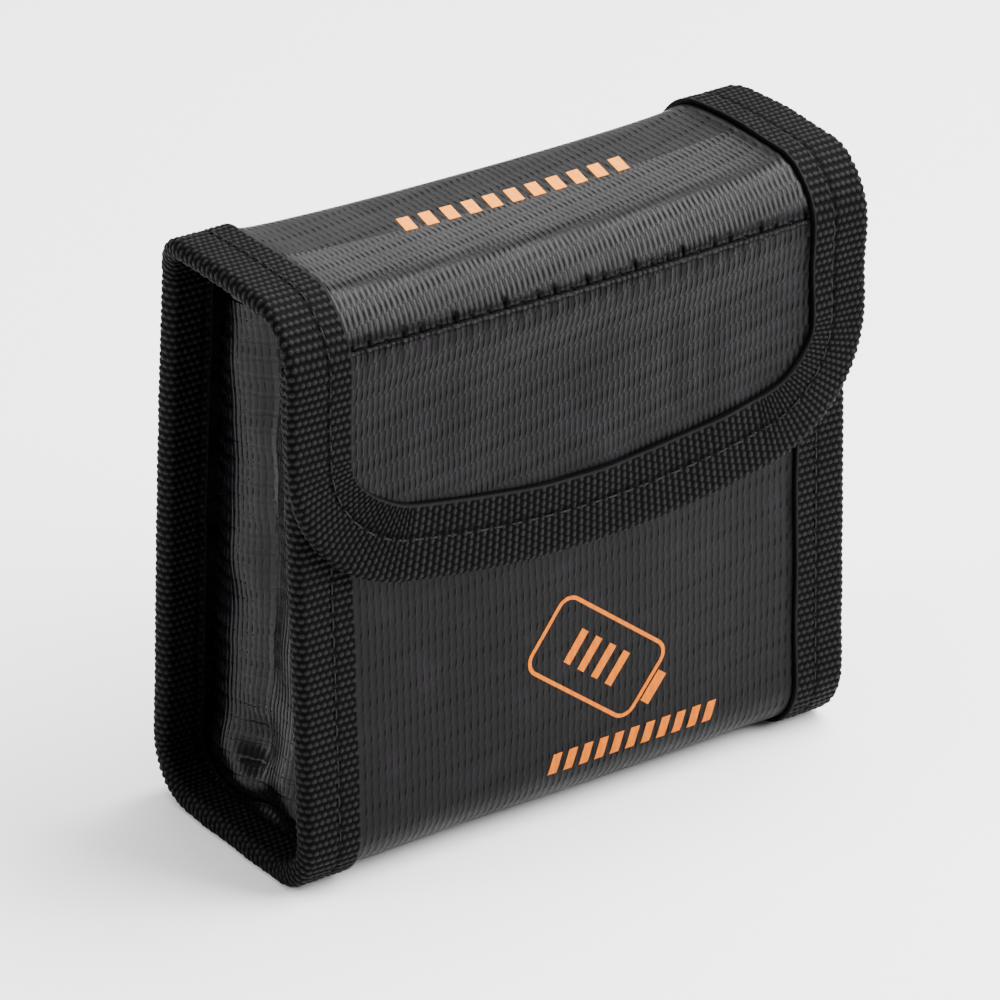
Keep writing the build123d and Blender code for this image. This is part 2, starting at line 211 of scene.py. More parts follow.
S_CROSS_ROW = s_flap(97.4)
HALF_ROW = HALF_LID - FLAP_TAPE_REACH
GROOVE_DEPTH = 0.32
GROOVE_HALF = 0.42
HOLE_DEPTH = 0.4
HOLE_R = 0.36
PUCKER = 0.1
CROWN_HALF = 44.0  # how far from the middle the walls' crown reaches
WALL_CROWN = 0.9
BASE_HOLLOW = 0.5
ROLL_CROWN = 0.6
LID_EDGE_LIFT = 1.4
# dents low on the flap: x, height, half-width, half-height and depth
FLAP_DENTS = ((17, 76, 3.2, 11, 0.36), (24, 79, 2.6, 10, 0.28), (-20, 74, 6, 12, 0.2))


def cross_row_xs():
    """Where the cross row's stitches lie across the flap."""
    count = int((2 * HALF_ROW - STITCH_LENGTH) / STITCH_PITCH) + 1
    return (np.arange(count) - (count - 1) / 2) * STITCH_PITCH


def swell(x, s):
    """How far the cloth lies out from its flat wall."""
    across = np.clip(1 - (x / CROWN_HALF) ** 2, 0, 1)
    lift = WALL_CROWN * dome(s, 4, S_BASE0) * across
    lift = lift - BASE_HOLLOW * dome(s, S_BASE1, S_HEEL0) * across
    lift = lift + WALL_CROWN * dome(s, S_HEEL1, S_BACK0) * across
    lift = lift + 0.4 * window(s, S_HEEL1 + 10, S_BACK1 + 4, 40)
    lift = lift + (ROLL_CROWN + WALL_CROWN * across) * np.exp(-(((s - S_CROSS_ROW - 2.5) / 5.5) ** 2))
    lift = lift + LID_EDGE_LIFT * dome(s, S_BACK0, S_FOLD0 + 6) * (1 - 1.5 * across**0.5)
    lift = lift + 0.35 * dome(s, S_FOLD0, S_END) * across
    inner = window(x, -46, 46, 8)
    lift = lift + 0.22 * waves(x, s * 0.6, 5, 34) * inner * window(s, 2, S_BACK0, 10)
    lift = lift + 0.3 * waves(x, s * 0.45, 11, 30) * inner * window(s, S_FOLD1 - 2, S_END - 6, 12)
    lift = lift + 0.16 * waves(x * 1.3, s * 0.3, 23, 17) * inner * window(s, S_FOLD1, S_END - 6, 8)
    for x0, z0, wide, tall, deep in FLAP_DENTS:
        lift = lift - deep * np.exp(-(((x - x0) / wide) ** 2) - ((s - s_flap(z0)) / tall) ** 2)
    return lift


def seam_dips_and_shade(x, s):
    """The cross row's groove, needle holes and puckers on the flap's outer cloth: (depth, painted shade that
    darkens the groove and holes).
    """
    near = s - S_CROSS_ROW
    inside = window(x, -HALF_ROW - 2, HALF_ROW + 2, 2)
    groove = np.exp(-((near / GROOVE_HALF) ** 2)) * inside
    phase = (x - cross_row_xs()[0]) / STITCH_PITCH + 0.5
    count = np.round(phase)
    from_hole = (phase - count) * STITCH_PITCH
    tick = 0.55 + 0.35 * np.sin(count * 2.3)
    holes = np.exp(-((from_hole / HOLE_R) ** 2) - ((near + tick) / (0.35 + 0.4 * tick)) ** 2) * inside
    pucker = np.cos(2 * math.pi * phase) * np.exp(-(((near - 1.7) / 2.0) ** 2)) * inside
    depth = -GROOVE_DEPTH * groove - HOLE_DEPTH * holes + PUCKER * pucker
    # the second value darkens the groove and the needle holes in colour: painted shade
    return depth, np.clip(0.85 * groove + 1.2 * holes, 0, 1)


def at(s):
    """y, z and travel direction of the strip's cloth face."""
    return [np.interp(s, KNOTS[:, 0], KNOTS[:, k]) for k in (1, 2, 3)]


def place(x, s, h, dips=False):
    """Points of the strip in the pouch's frame, h out from the cloth's face."""
    y, z, angle = at(s)
    past = np.maximum(np.asarray(s) - S_END, 0) + np.minimum(np.asarray(s), 0)
    lift = h + swell(x, s) + (seam_dips_and_shade(x, s)[0] if dips else 0)
    y = y + np.sin(angle) * lift + np.cos(angle) * past
    z = z - np.cos(angle) * lift + np.sin(angle) * past
    return np.stack(np.broadcast_arrays(np.asarray(x, float), y, z), -1)


# ---- meshes ----
def make_mesh(name, points, faces, uv=None, shade=None, sharp=50.0, relief_and_painted_light=None):
    """A smooth-shaded mesh object from points in millimetres. Its last argument is a float per point for the
    shaders: webbing bead relief, read as painted highlight on bead tops and painted shade in gaps, stitch
    grooves and needle holes.
    """
    mesh = bpy.data.meshes.new(name)
    points = np.asarray(points, float).reshape(-1, 3)
    sizes = [len(f) for f in faces]
    mesh.vertices.add(len(points))
    mesh.vertices.foreach_set("co", (points * MM).astype(np.float32).ravel())
    mesh.loops.add(sum(sizes))
    mesh.loops.foreach_set("vertex_index", np.concatenate([np.asarray(f, np.int32) for f in faces]))
    mesh.polygons.add(len(faces))
    mesh.polygons.foreach_set("loop_start", np.concatenate([[0], np.cumsum(sizes)[:-1]]).astype(np.int32))
    mesh.update(calc_edges=True)
    mesh.validate()
    if uv is not None:
        layer = mesh.uv_layers.new(name="strip")
        index = np.zeros(len(mesh.loops), np.int32)
        mesh.loops.foreach_get("vertex_index", index)
        corners = np.asarray(uv, float).reshape(-1, 2)[index] * MM
        layer.data.foreach_set("uv", corners.astype(np.float32).ravel())
    if relief_and_painted_light is not None:
        attribute = mesh.attributes.new("relief_and_painted_light", "FLOAT", "POINT")
        attribute.data.foreach_set("value", np.asarray(relief_and_painted_light, np.float32).ravel())
    mesh.polygons.foreach_set("use_smooth", np.ones(len(mesh.polygons), bool))
    mesh.set_sharp_from_angle(angle=math.radians(sharp))
    obj = bpy.data.objects.new(name, mesh)
    bpy.context.scene.collection.objects.link(obj)
    if shade is not None:
        mesh.materials.append(shade)
    return obj


def grid_faces(rows, columns, first=0, flip=False):
    """Quads of a grid of points, as an array."""
    index = np.arange(rows * columns).reshape(rows, columns) + first
    quads = np.stack([index[:-1, :-1], index[:-1, 1:], index[1:, 1:], index[1:, :-1]], -1).reshape(-1, 4)
    return quads[:, ::-1] if flip else quads


def tube_faces(index):
    """Quads of tubes whose points' numbers run round on the last axis and along on the one before."""
    wrap = np.concatenate([index, index[..., :1]], -1)
    corners = (wrap[..., :-1, :-1], wrap[..., :-1, 1:], wrap[..., 1:, 1:], wrap[..., 1:, :-1])
    return np.stack(corners, -1).reshape(-1, 4)


def shell_faces(rows, columns):
    """Faces of a closed sheet: a grid, a second grid under it, and the rim."""
    count = rows * columns
    top, low = grid_faces(rows, columns), grid_faces(rows, columns, count, True)
    index = np.arange(count).reshape(rows, columns)
    ring = np.concatenate([index[0, :-1], index[:-1, -1], index[-1, :0:-1], index[:0:-1, 0]])
    after = np.roll(ring, -1)
    rim = np.stack([after, ring, ring + count, after + count], -1)
    return list(top) + list(low) + list(rim)


def shell(name, x, s, outer, inner, shade, dips=False):
    """A layer of the strip between two distances from its cloth face, on a grid of (x, s)."""
    rows, columns = x.shape
    top, low = place(x, s, outer, dips), place(x, s, inner)
    uv = np.stack([x, s], -1)
    points = np.concatenate([top.reshape(-1, 3), low.reshape(-1, 3)])
    uvs = np.concatenate([uv.reshape(-1, 2), uv.reshape(-1, 2)])
    # painted shade of the cross row's groove and needle holes, passed to the cloth's shader
    seam_shade = seam_dips_and_shade(x, s)[1] if dips else np.zeros(x.shape)
    seam_shade = np.concatenate([seam_shade.ravel(), np.zeros(x.size)])
    return make_mesh(name, points, shell_faces(rows, columns), uvs, shade, relief_and_painted_light=seam_shade)


def spread(lo, hi, step):
    """Evenly spaced numbers about a step apart, ends included."""
    return np.linspace(lo, hi, max(2, int(round((hi - lo) / step)) + 1))


# the flap's outline: centres of its corner arcs and of its bow, and half the bow's angle
CORNER_X = HALF_LID - FLAP_CORNER_R
BOW_Z = FLAP_LOW_Z + FLAP_BOW_R
CORNER_Z = BOW_Z - math.sqrt((FLAP_BOW_R - FLAP_CORNER_R) ** 2 - CORNER_X**2)
BOW_TURN = math.atan2(CORNER_X, BOW_Z - CORNER_Z)


def flap_foot(x, inset):
    """Height of the flap's outline, moved inwards, at a distance from the middle."""
    bow = BOW_Z - np.sqrt((FLAP_BOW_R - inset) ** 2 - x**2)
    radius = FLAP_CORNER_R - inset
    off = np.clip(np.abs(x) - CORNER_X, 0, radius)
    meets = CORNER_X + radius * math.sin(BOW_TURN)
    return np.where(np.abs(x) <= meets, bow, CORNER_Z - np.sqrt(radius**2 - off**2))


# ---- webbing ----
RIB_PITCH = 1.32
BEAD_PITCH = 1.19
BEAD_HEIGHT = 0.34
RIB_PHASES = (0.0, 0.17, 0.33, 0.5, 0.67, 0.83)  # where a rib is sampled along the tape
BEAD_HALF = 0.37  # half a bead's length along the tape, of a rib's pitch
BEAD_SAMPLES = 4  # per bead, across the tape
ROW_STEP = 0.3
EDGE_ROUND = 1.35
SELVEDGE = 0.7
STITCH_SINK = 0.28


def tape_profile(reach_out, reach_in, nominal):
    """Points round folded webbing and their run. Each is its distance v in from the edge, its level a,
    its share k of the stack's thickness, its normal (nv, nh), and 1 where it shows."""
    rows = [(reach_out, TAPE_T, 0.0, 0.0, 1.0)]
    for angle in np.linspace(math.pi / 2, -math.pi / 2, 25):
        sine, cosine = math.sin(angle), math.cos(angle)
        rows.append((EDGE_ROUND * (1 - cosine), TAPE_T * sine, (1 - sine) / 2, -cosine, sine))
    rows.append((reach_in, -TAPE_T, 1.0, 0.0, -1.0))
    outer = np.array(rows)
    flat = np.stack([outer[:, 0], outer[:, 1] - outer[:, 2] * nominal], -1)
    knots = np.concatenate([[0], np.cumsum(np.hypot(*np.diff(flat, axis=0).T))])
    step = BEAD_PITCH / BEAD_SAMPLES
    run = np.append(np.arange(0, knots[-1] - step / 2, step), knots[-1])
    shown = np.stack([np.interp(run, knots, column) for column in outer.T] + [np.ones_like(run)], -1)
    hidden = [
        (reach_in + 0.12, -0.35 * TAPE_T, 1.0, 1.0, 0.0, 0.0),
        (reach_in, 0.05, 1.0, 0.0, 1.0, 0.0),
        (EDGE_ROUND, 0.05, 1.0, 0.0, 1.0, 0.0),
        (EDGE_ROUND, -0.05, 0.0, 0.0, -1.0, 0.0),
        (reach_out, -0.05, 0.0, 0.0, -1.0, 0.0),
        (reach_out + 0.12, 0.35 * TAPE_T, 0.0, 1.0, 0.0, 0.0),
    ]
    return np.concatenate([shown, hidden]), np.concatenate([run, np.full(len(hidden), run[-1])])


def beads(u, q, pitch, seed):
    """The webbing's relief, from 0 in its gaps to 1, along and round a tape."""
    rib = np.floor(u / pitch + 1e-6)
    fu = u / pitch - rib - 0.5
    cell = q / BEAD_PITCH + 0.5 * (rib % 2)
    fv = cell - np.floor(cell + 1e-6) - 0.5
    jitter = np.sin(rib * 12.9898 + np.floor(cell + 1e-6) * 78.233 + seed) * 43758.5453
    jitter = jitter - np.floor(jitter)
    round_top = 1 - (fu / BEAD_HALF) ** 2 - 0.8 * (2 * fv) ** 2
    return np.sqrt(np.clip(round_top, 0, 1)) * (0.8 + 0.2 * jitter)


def tape(name, edge, thick, reach, shade, seed=0, pitch=RIB_PITCH, start=0.0, width=None, reach_in=None):
    """Webbing folded over an edge of the strip. edge holds u, x, s and the inward direction; thick and
    width are the stack's thickness and the reach's scale, which may change along u."""
    length = edge[0][-1]
    ribs = np.arange(math.floor(start / pitch) - 1, math.ceil((start + length) / pitch) + 1)
    u = ((ribs[:, None] + np.array(RIB_PHASES)) * pitch - start).ravel()
    u = np.concatenate([[0.0], u[(u > 0.04) & (u < length - 0.04)], [length]])
    x, s, mx, ms, thick, width = (
        np.interp(u, edge[0], np.broadcast_to(column, edge[0].shape))
        for column in (*edge[1:], thick, 1.0 if width is None else width)
    )
    profile, run = tape_profile(reach, reach_in or reach, float(np.mean(thick)))
    v, a, k, nv, nh, shown = profile.T
    # this relief also colours the webbing: bead tops lighter as painted highlight, gaps darker as painted
    # shade
    relief_and_painted_light = beads(u[:, None] + start, run[None, :], pitch, seed) * shown
    # the tape's run wavers where it was fed by hand, and its selvedge is flatter than its middle
    waver = 0.22 * waves(u + start, u * 0, seed + 40, 28)
    past = np.clip(v - EDGE_ROUND, 0, None) / (reach - EDGE_ROUND)
    from_end = np.where(k > 0.5, reach_in or reach, reach) - v
    selvedge = np.clip(from_end / SELVEDGE, 0, 1)
    # the selvedge cord is raised, and its lighter colour is a painted highlight
    cord_edge = np.exp(-(((from_end - 0.2) / 0.22) ** 2)) * shown
    relief_and_painted_light = np.maximum(relief_and_painted_light * (0.2 + 0.8 * selvedge), 0.8 * cord_edge)
    relief = relief_and_painted_light * BEAD_HEIGHT
    from_row = v - ROW_SHARE * reach
    pull = 0.75 + 0.25 * np.cos(2 * math.pi * (u[:, None] + start) / STITCH_PITCH)
    sunk = np.exp(-((from_row / 0.42) ** 2)) * pull
    relief = relief - shown * STITCH_SINK * sunk
    # painted shade: the stitch groove is darkened in colour
    relief_and_painted_light = relief_and_painted_light * (1 - 0.8 * sunk)
    relief = relief + shown * 0.1 * waves((u[:, None] + start) * np.ones_like(v), run[None, :], seed + 70, 12)
    out = v + (width[:, None] - 1) * np.clip(v - EDGE_ROUND, 0, None) + nv * relief + past * waver[:, None]
    level = a - k * thick[:, None] + nh * relief
    points = place(x[:, None] + mx[:, None] * out, s[:, None] + ms[:, None] * out, level)
    rows, columns = points.shape[:2]
    index = np.arange(rows * columns).reshape(rows, columns)
    faces = list(tube_faces(index)) + [index[0][::-1], index[-1]]
    uv = np.stack(np.broadcast_arrays(u[:, None] + start, run[None, :]), -1)
    return make_mesh(name, points, faces, uv, shade, sharp=80, relief_and_painted_light=np.where(shown > 0, relief_and_painted_light, 0.3))


def straight_edge(side, half, s0, s1):
    """A long edge of the strip at one end of the pouch."""
    s = spread(s0, s1, ROW_STEP)
    one = np.ones_like(s)
    return s - s0, side * half * one, s, -side * one, 0 * one


def flap_edge(inset=0.0):
    """The lid's and flap's bound edge from the middle of the lid, round the flap, to the middle again."""
    radius = FLAP_CORNER_R - inset
    half = HALF_LID - inset
    side_s = spread(S_MID_LID, s_flap(CORNER_Z), ROW_STEP)
    left = [(-half, s, 1.0, 0.0) for s in side_s]
    outer_steps = max(3, int(FLAP_CORNER_R * (math.pi / 2 - BOW_TURN) / ROW_STEP))
    for angle in np.linspace(0, math.pi / 2 - BOW_TURN, outer_steps + 1)[1:]:
        cx, cz = -CORNER_X - radius * math.cos(angle), CORNER_Z - radius * math.sin(angle)
        left.append((cx, s_flap(cz), math.cos(angle), -math.sin(angle)))
    bow = []
    bow_radius = FLAP_BOW_R - inset
    for angle in np.linspace(-BOW_TURN, BOW_TURN, int(2 * BOW_TURN * FLAP_BOW_R / ROW_STEP) + 1)[1:-1]:
        bx, bz = bow_radius * math.sin(angle), BOW_Z - bow_radius * math.cos(angle)
        bow.append((bx, s_flap(bz), -math.sin(angle), -math.cos(angle)))
    right = [(-x, s, -mx, ms) for x, s, mx, ms in reversed(left)]
    x, s, mx, ms = np.array(left + bow + right).T
    u = np.concatenate([[0], np.cumsum(np.hypot(np.diff(x), np.diff(s)))])
    return u, x, s, mx, ms


# ---- materials ----
class Shader:
    """A material's nodes, built one after another."""

    def __init__(self, name):
        self.material = bpy.data.materials.new(name)
        self.material.use_nodes = True
        self.nodes = self.material.node_tree.nodes
        self.links = self.material.node_tree.links
        self.principled = next(n for n in self.nodes if n.type == "BSDF_PRINCIPLED")

    def add(self, kind, **settings):
        node = self.nodes.new(kind)
        for key, value in settings.items():
            setattr(node, key, value)
        return node

    def feed(self, value, socket):
        if isinstance(value, bpy.types.NodeSocket):
            self.links.new(value, socket)
        else:
            socket.default_value = value

    def math(self, operation, *values):
        node = self.add("ShaderNodeMath", operation=operation)
        for value, socket in zip(values, node.inputs):
            self.feed(value, socket)
        return node.outputs[0]

    def plus(self, a, b):
        return self.math("ADD", a, b)

    def minus(self, a, b):
        return self.math("SUBTRACT", a, b)

    def times(self, a, b):
        return self.math("MULTIPLY", a, b)

    def between(self, value, lo, hi, to_lo=0.0, to_hi=1.0):
        node = self.add("ShaderNodeMapRange", interpolation_type="SMOOTHSTEP")
        names = ("Value", "From Min", "From Max", "To Min", "To Max")
        for name, v in zip(names, (value, lo, hi, to_lo, to_hi)):
            self.feed(v, node.inputs[name])
        return node.outputs["Result"]

    def noise(self, vector, scale, detail=2.0, rough=0.5):
        node = self.add("ShaderNodeTexNoise")
        self.feed(vector, node.inputs["Vector"])
        node.inputs["Scale"].default_value = scale
        node.inputs["Detail"].default_value = detail
        node.inputs["Roughness"].default_value = rough
        return node.outputs["Fac"]

    def mix(self, share, a, b):
        node = self.add("ShaderNodeMix", data_type="RGBA")
        sockets = [s for s in node.inputs if s.enabled]
        for value, socket in zip((share, a, b), sockets):
            self.feed(value, socket)
        return next(s for s in node.outputs if s.enabled)

    def bump(self, height, distance, strength=1.0, normal=None):
        node = self.add("ShaderNodeBump")
        node.inputs["Strength"].default_value = strength
        node.inputs["Distance"].default_value = distance
        self.feed(height, node.inputs["Height"])
        if normal is not None:
            self.feed(normal, node.inputs["Normal"])
        return node.outputs["Normal"]

    def uv(self):
        node = self.add("ShaderNodeUVMap", uv_map="strip")
        split = self.add("ShaderNodeSeparateXYZ")
        self.links.new(node.outputs["UV"], split.inputs[0])
        return node.outputs["UV"], split.outputs[0], split.outputs[1]

    def object_place(self):
        return self.add("ShaderNodeTexCoord").outputs["Object"]

    def finish(self, **values):
        for name, value in values.items():
            self.feed(value, self.principled.inputs[name.replace("_", " ")])
        return self.material


def coated_cloth(name, dark, light, rough, depth, slits, rib_pitch, slant, ladder, sheen):
    """Rubber-coated glass cloth: slightly slanted upright ribs parted by short dark slits in rows, with
    cross lines as strong as ladder. sheen is its specular level on the lid and below the cross row."""
    sh = Shader(name)
    uv, across, along = sh.uv()
    seam_shade_mask = sh.add("ShaderNodeAttribute", attribute_name="relief_and_painted_light").outputs["Fac"]
    slow = sh.noise(uv, 60.0, 2)
    drift = sh.noise(uv, 420.0, 2)
    rows = sh.plus(sh.times(along, 1 / 0.0032), sh.times(drift, 0.35))
    rows = sh.plus(rows, sh.times(across, 45.0))
    row = sh.math("FRACT", rows)
    sway = sh.times(sh.minus(row, 0.5), slant)
    ribs = sh.plus(sh.times(across, 1 / rib_pitch), sway)
    ribs = sh.plus(ribs, sh.times(sh.minus(slow, 0.5), 0.7))
    ribs = sh.plus(ribs, sh.times(sh.minus(drift, 0.5), 0.3))
    rib = sh.math("FRACT", ribs)
    from_middle = sh.math("ABSOLUTE", sh.minus(rib, 0.5))
    ridge = sh.between(from_middle, 0.08, 0.5, 1.0, 0.0)
    border = sh.between(from_middle, 0.3, 0.47)
    every_other = sh.math("FRACT", sh.times(sh.math("FLOOR", rows), 0.5))
    strong = sh.between(every_other, 0.2, 0.4, 0.55, 1.0)
    from_slit = sh.math("ABSOLUTE", sh.minus(row, 0.6))
    slit = sh.times(sh.between(from_slit, 0.08, 0.3, 1.0, 0.12), strong)
    slit = sh.times(sh.times(slit, border), slits)
    cell = sh.between(from_slit, 0.1, 0.5, 0.8, 1.0)
    height = sh.minus(sh.times(sh.times(ridge, cell), 0.6), slit)
    rung = sh.math("ABSOLUTE", sh.minus(row, 0.1))
    rung = sh.times(sh.between(rung, 0.06, 0.2, 1.0, 0.0), ladder)
    height = sh.minus(height, rung)
    fine = sh.noise(uv, 2600.0, 3, 0.6)
    tint = sh.noise(uv, 140.0, 3)
    # the colour follows the weave's height: partly the weave's own look, partly painted shade that darkens
    # its slits and cross rungs
    shade = sh.between(height, -0.6, 0.55)
    shade = sh.times(shade, sh.plus(0.7, sh.times(tint, 0.6)))
    colour = sh.mix(shade, dark, light)
    stain = sh.times(sh.between(tint, 0.52, 0.7), 0.35)
    colour = sh.mix(stain, colour, (0.0075, 0.0052, 0.007, 1))
    # painted shade: the cross row's groove and needle holes are darkened
    colour = sh.mix(seam_shade_mask, colour, (0.0004, 0.0004, 0.0004, 1))
    gloss = sh.plus(rough, sh.times(sh.minus(sh.noise(uv, 90.0, 3), 0.5), 0.2))
    gloss = sh.plus(gloss, sh.times(sh.minus(fine, 0.5), 0.16))
    gloss = sh.plus(gloss, sh.times(slit, 0.3))
    coat = sh.between(along, S_MID_LID * MM, (S_CROSS_ROW + 4) * MM, *sheen)
    coat = sh.times(coat, sh.minus(1.0, sh.times(slit, 0.8)))
    shine = sh.times(sh.minus(1.0, seam_shade_mask), coat)
    normal = sh.bump(height, 0.00014 * depth)
    normal = sh.bump(fine, 0.00001, 0.6, normal)
    return sh.finish(
        Base_Color=colour, Roughness=gloss, Normal=normal, Specular_IOR_Level=shine,
        Coat_Weight=0.02, Coat_Roughness=0.2,
    )


def webbing_cloth():
    sh = Shader("black_webbing")
    uv, along, across = sh.uv()
    relief_and_painted_light = sh.add("ShaderNodeAttribute", attribute_name="relief_and_painted_light").outputs["Fac"]
    place_at = sh.object_place()
    fibre = sh.noise(place_at, 5200.0, 2, 0.6)
    strand = sh.add("ShaderNodeTexWave", wave_type="BANDS", bands_direction="Y")
    sh.links.new(uv, strand.inputs["Vector"])
    strand.inputs["Scale"].default_value = 900.0
    strand.inputs["Distortion"].default_value = 2.0
    slow = sh.noise(place_at, 90.0, 2)
    # painted light: bead tops and the selvedge cord are coloured lighter as painted highlight, the gaps
    # between beads and the stitch groove darker as painted shade
    shade = sh.times(sh.between(relief_and_painted_light, 0.1, 0.95), sh.plus(0.55, sh.times(fibre, 0.8)))
    shade = sh.times(shade, sh.plus(0.7, sh.times(slow, 0.6)))
    colour = sh.mix(shade, (0.0007, 0.0007, 0.0008, 1), (0.0050, 0.0050, 0.0054, 1))
    height = sh.plus(sh.times(fibre, 0.5), sh.times(strand.outputs["Fac"], 0.5))
    rough = sh.plus(0.5, sh.times(fibre, 0.2))
    shine = sh.plus(0.03, sh.times(sh.between(relief_and_painted_light, 0.2, 0.9), 0.07))
    return sh.finish(
        Base_Color=colour, Roughness=rough, Normal=sh.bump(height, 0.00006, 0.7), Specular_IOR_Level=shine,
    )


def soft_fabric(name, dark, light, scale, depth, rough, metallic=0.0):
    """A plain woven or felted cloth with fine thread relief and slow mottling."""
    sh = Shader(name)
    uv, across, along = sh.uv()
    warp = sh.math("SINE", sh.times(across, scale))
    weft = sh.math("SINE", sh.times(along, scale))
    weave = sh.times(warp, weft)
    fluff = sh.noise(uv, scale * 0.5, 3, 0.7)
    slow = sh.noise(uv, 55.0, 3)
    height = sh.plus(sh.times(weave, 0.35), fluff)
    share = sh.times(sh.between(height, 0.1, 0.9), sh.plus(0.6, sh.times(slow, 0.7)))
    gloss = sh.plus(rough, sh.times(sh.minus(slow, 0.5), 0.25))
    return sh.finish(
        Base_Color=sh.mix(share, dark, light), Roughness=gloss, Metallic=metallic,
        Normal=sh.bump(height, depth, 0.8),
    )


def thread_shader(name, dark, light, shine):
    sh = Shader(name)
    place_at = sh.object_place()
    twist = sh.add("ShaderNodeTexWave", wave_type="BANDS", bands_direction="DIAGONAL")
    sh.links.new(place_at, twist.inputs["Vector"])
    twist.inputs["Scale"].default_value = 1300.0
    twist.inputs["Distortion"].default_value = 1.0
    colour = sh.mix(twist.outputs["Fac"], dark, light)
    rough = sh.plus(0.42, sh.times(sh.noise(place_at, 900.0), 0.2))
    return sh.finish(
        Base_Color=colour, Roughness=rough, Normal=sh.bump(twist.outputs["Fac"], 0.00005, 0.8),
        Specular_IOR_Level=shine,
    )


def ink_shader(name, dark, light):
    """Screen print: slightly uneven cover with the cloth's ribs telegraphing through."""
    sh = Shader(name)
    uv, across, along = sh.uv()
    rib = sh.math("SINE", sh.times(across, 2 * math.pi / 0.0015))
    row = sh.math("SINE", sh.times(along, 2 * math.pi / 0.0032))
    cover = sh.noise(uv, 900.0, 4, 0.65)
    share = sh.plus(sh.between(cover, 0.3, 0.7, 0.25, 0.9), sh.times(rib, 0.1))
    height = sh.plus(sh.times(rib, 0.5), sh.times(row, 0.2))
    rough = sh.plus(0.42, sh.times(cover, 0.25))
    return sh.finish(
        Base_Color=sh.mix(share, dark, light), Roughness=rough, Normal=sh.bump(height, 0.00008, 0.7),
        Specular_IOR_Level=0.06,
    )


CLOTH = coated_cloth(
    "coated_cloth", (0.0005, 0.0005, 0.0006, 1), (0.0026, 0.0025, 0.0029, 1), rough=0.38, depth=0.6,
    slits=0.7, rib_pitch=0.0013, slant=0.2, ladder=0.1, sheen=(0.06, 0.06),
)
FLAP_CLOTH = coated_cloth(
    "coated_cloth_flap", (0.0004, 0.0004, 0.0005, 1), (0.0028, 0.0027, 0.0032, 1), rough=0.34, depth=0.9,
    slits=0.9, rib_pitch=0.00108, slant=0.35, ladder=0.12, sheen=(0.135, 0.064),
)
GUSSET_CLOTH = coated_cloth(
    "coated_cloth_gusset", (0.0004, 0.0004, 0.0006, 1), (0.0034, 0.0032, 0.0042, 1), rough=0.2, depth=0.7,
    slits=0.5, rib_pitch=0.0012, slant=0.05, ladder=0.8, sheen=(0.095, 0.095),
)
WEBBING = webbing_cloth()
# one black thread in two copies: a lighter one on the bindings as a painted highlight, a darker one sunk in
# the cross row's groove as painted shade
THREAD = thread_shader("black_thread", (0.0025, 0.0025, 0.0025, 1), (0.0095, 0.0095, 0.010, 1), 0.12)
SHADED_THREAD = thread_shader("black_thread_painted_shade", (0.0003, 0.0003, 0.0003, 1), (0.0010, 0.0010, 0.0011, 1), 0.03)
LINING = soft_fabric(
    "silver_lining", (0.16, 0.165, 0.17, 1), (0.42, 0.43, 0.45, 1), 5200.0, 0.00006, 0.4, metallic=0.45
)
FELT = soft_fabric("glass_felt", (0.35, 0.34, 0.31, 1), (0.62, 0.61, 0.57, 1), 2600.0, 0.0002, 0.95)
LOOP = soft_fabric("loop_tape", (0.004, 0.004, 0.004, 1), (0.02, 0.02, 0.021, 1), 4200.0, 0.0001, 0.8)
HOOK = soft_fabric("hook_tape", (0.005, 0.005, 0.005, 1), (0.024, 0.024, 0.025, 1), 3600.0, 0.0001, 0.5)
FRONT_INK = ink_shader("orange_ink", (0.36, 0.078, 0.0, 1), (0.48, 0.112, 0.0, 1))
TOP_INK = ink_shader("pale_orange_ink", (0.56, 0.17, 0.01, 1), (0.70, 0.23, 0.02, 1))


BEND_PAST = 3.0  # with 1 mm more, how far before the rounded fold at the back's top the walls' pieces end
S_BODY_END = S_BACK0 - BEND_PAST - 1.0


def bend_lid(obj):
    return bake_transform(obj)


def bend_flap(obj):
    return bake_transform(obj)


# ---- the strip's layers ----
SIDE_INSET = 1.6  # from the binding's edge to the cloth's own
MOUTH_INSET = 0.4
LAYER_GAP = 0.03
FLAP_INSET = 5.0
FAN_Z = 81.0  # below this height the flap's rows fan out to its outline


def layer_pieces(kind, outer, inner, shade, step):
    """One layer of the strip's walls, and of the lid's rear half."""
    body_half, lid_half = HALF_BODY - SIDE_INSET, HALF_LID - SIDE_INSET
    x, s = np.meshgrid(spread(-body_half, body_half, step), spread(MOUTH_INSET, S_BODY_END, step))
    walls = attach(shell(kind + "_walls", x, s, outer, inner, shade), "bag")
    s = spread(S_BODY_END, S_MID_LID, step)
    half = body_half + (lid_half - body_half) * eased(s, S_BACK0, S_BACK1 + 2)
    x = np.linspace(-1, 1, int(2 * lid_half / step) + 1)[None, :] * half[:, None]
    rear = bend_lid(shell(kind + "_lid", x, s[:, None] + 0 * x, outer, inner, shade))
    return walls, rear


def flap_grid(step, inset, fine):
    """(x, s) over the lid's front half and the flap, finer in one band, down to the inset outline."""
    half = HALF_LID - inset
    x = spread(-half, half, step)
    fine_start, fine_end, fine_step = fine
    upper = np.concatenate([
        spread(S_MID_LID, fine_start, step * 2.4)[:-1],
        spread(fine_start, fine_end, fine_step)[:-1],
        spread(fine_end, s_flap(FAN_Z), step * 2.4),
    ])
    foot = s_flap(flap_foot(x, inset))
    shares = spread(0, 1, step * 2.4 / 28)[1:]
    lower = s_flap(FAN_Z) + shares[:, None] * (foot[None, :] - s_flap(FAN_Z))
    s = np.concatenate([np.broadcast_to(upper[:, None], (len(upper), len(x))), lower])
    return np.broadcast_to(x, s.shape), s


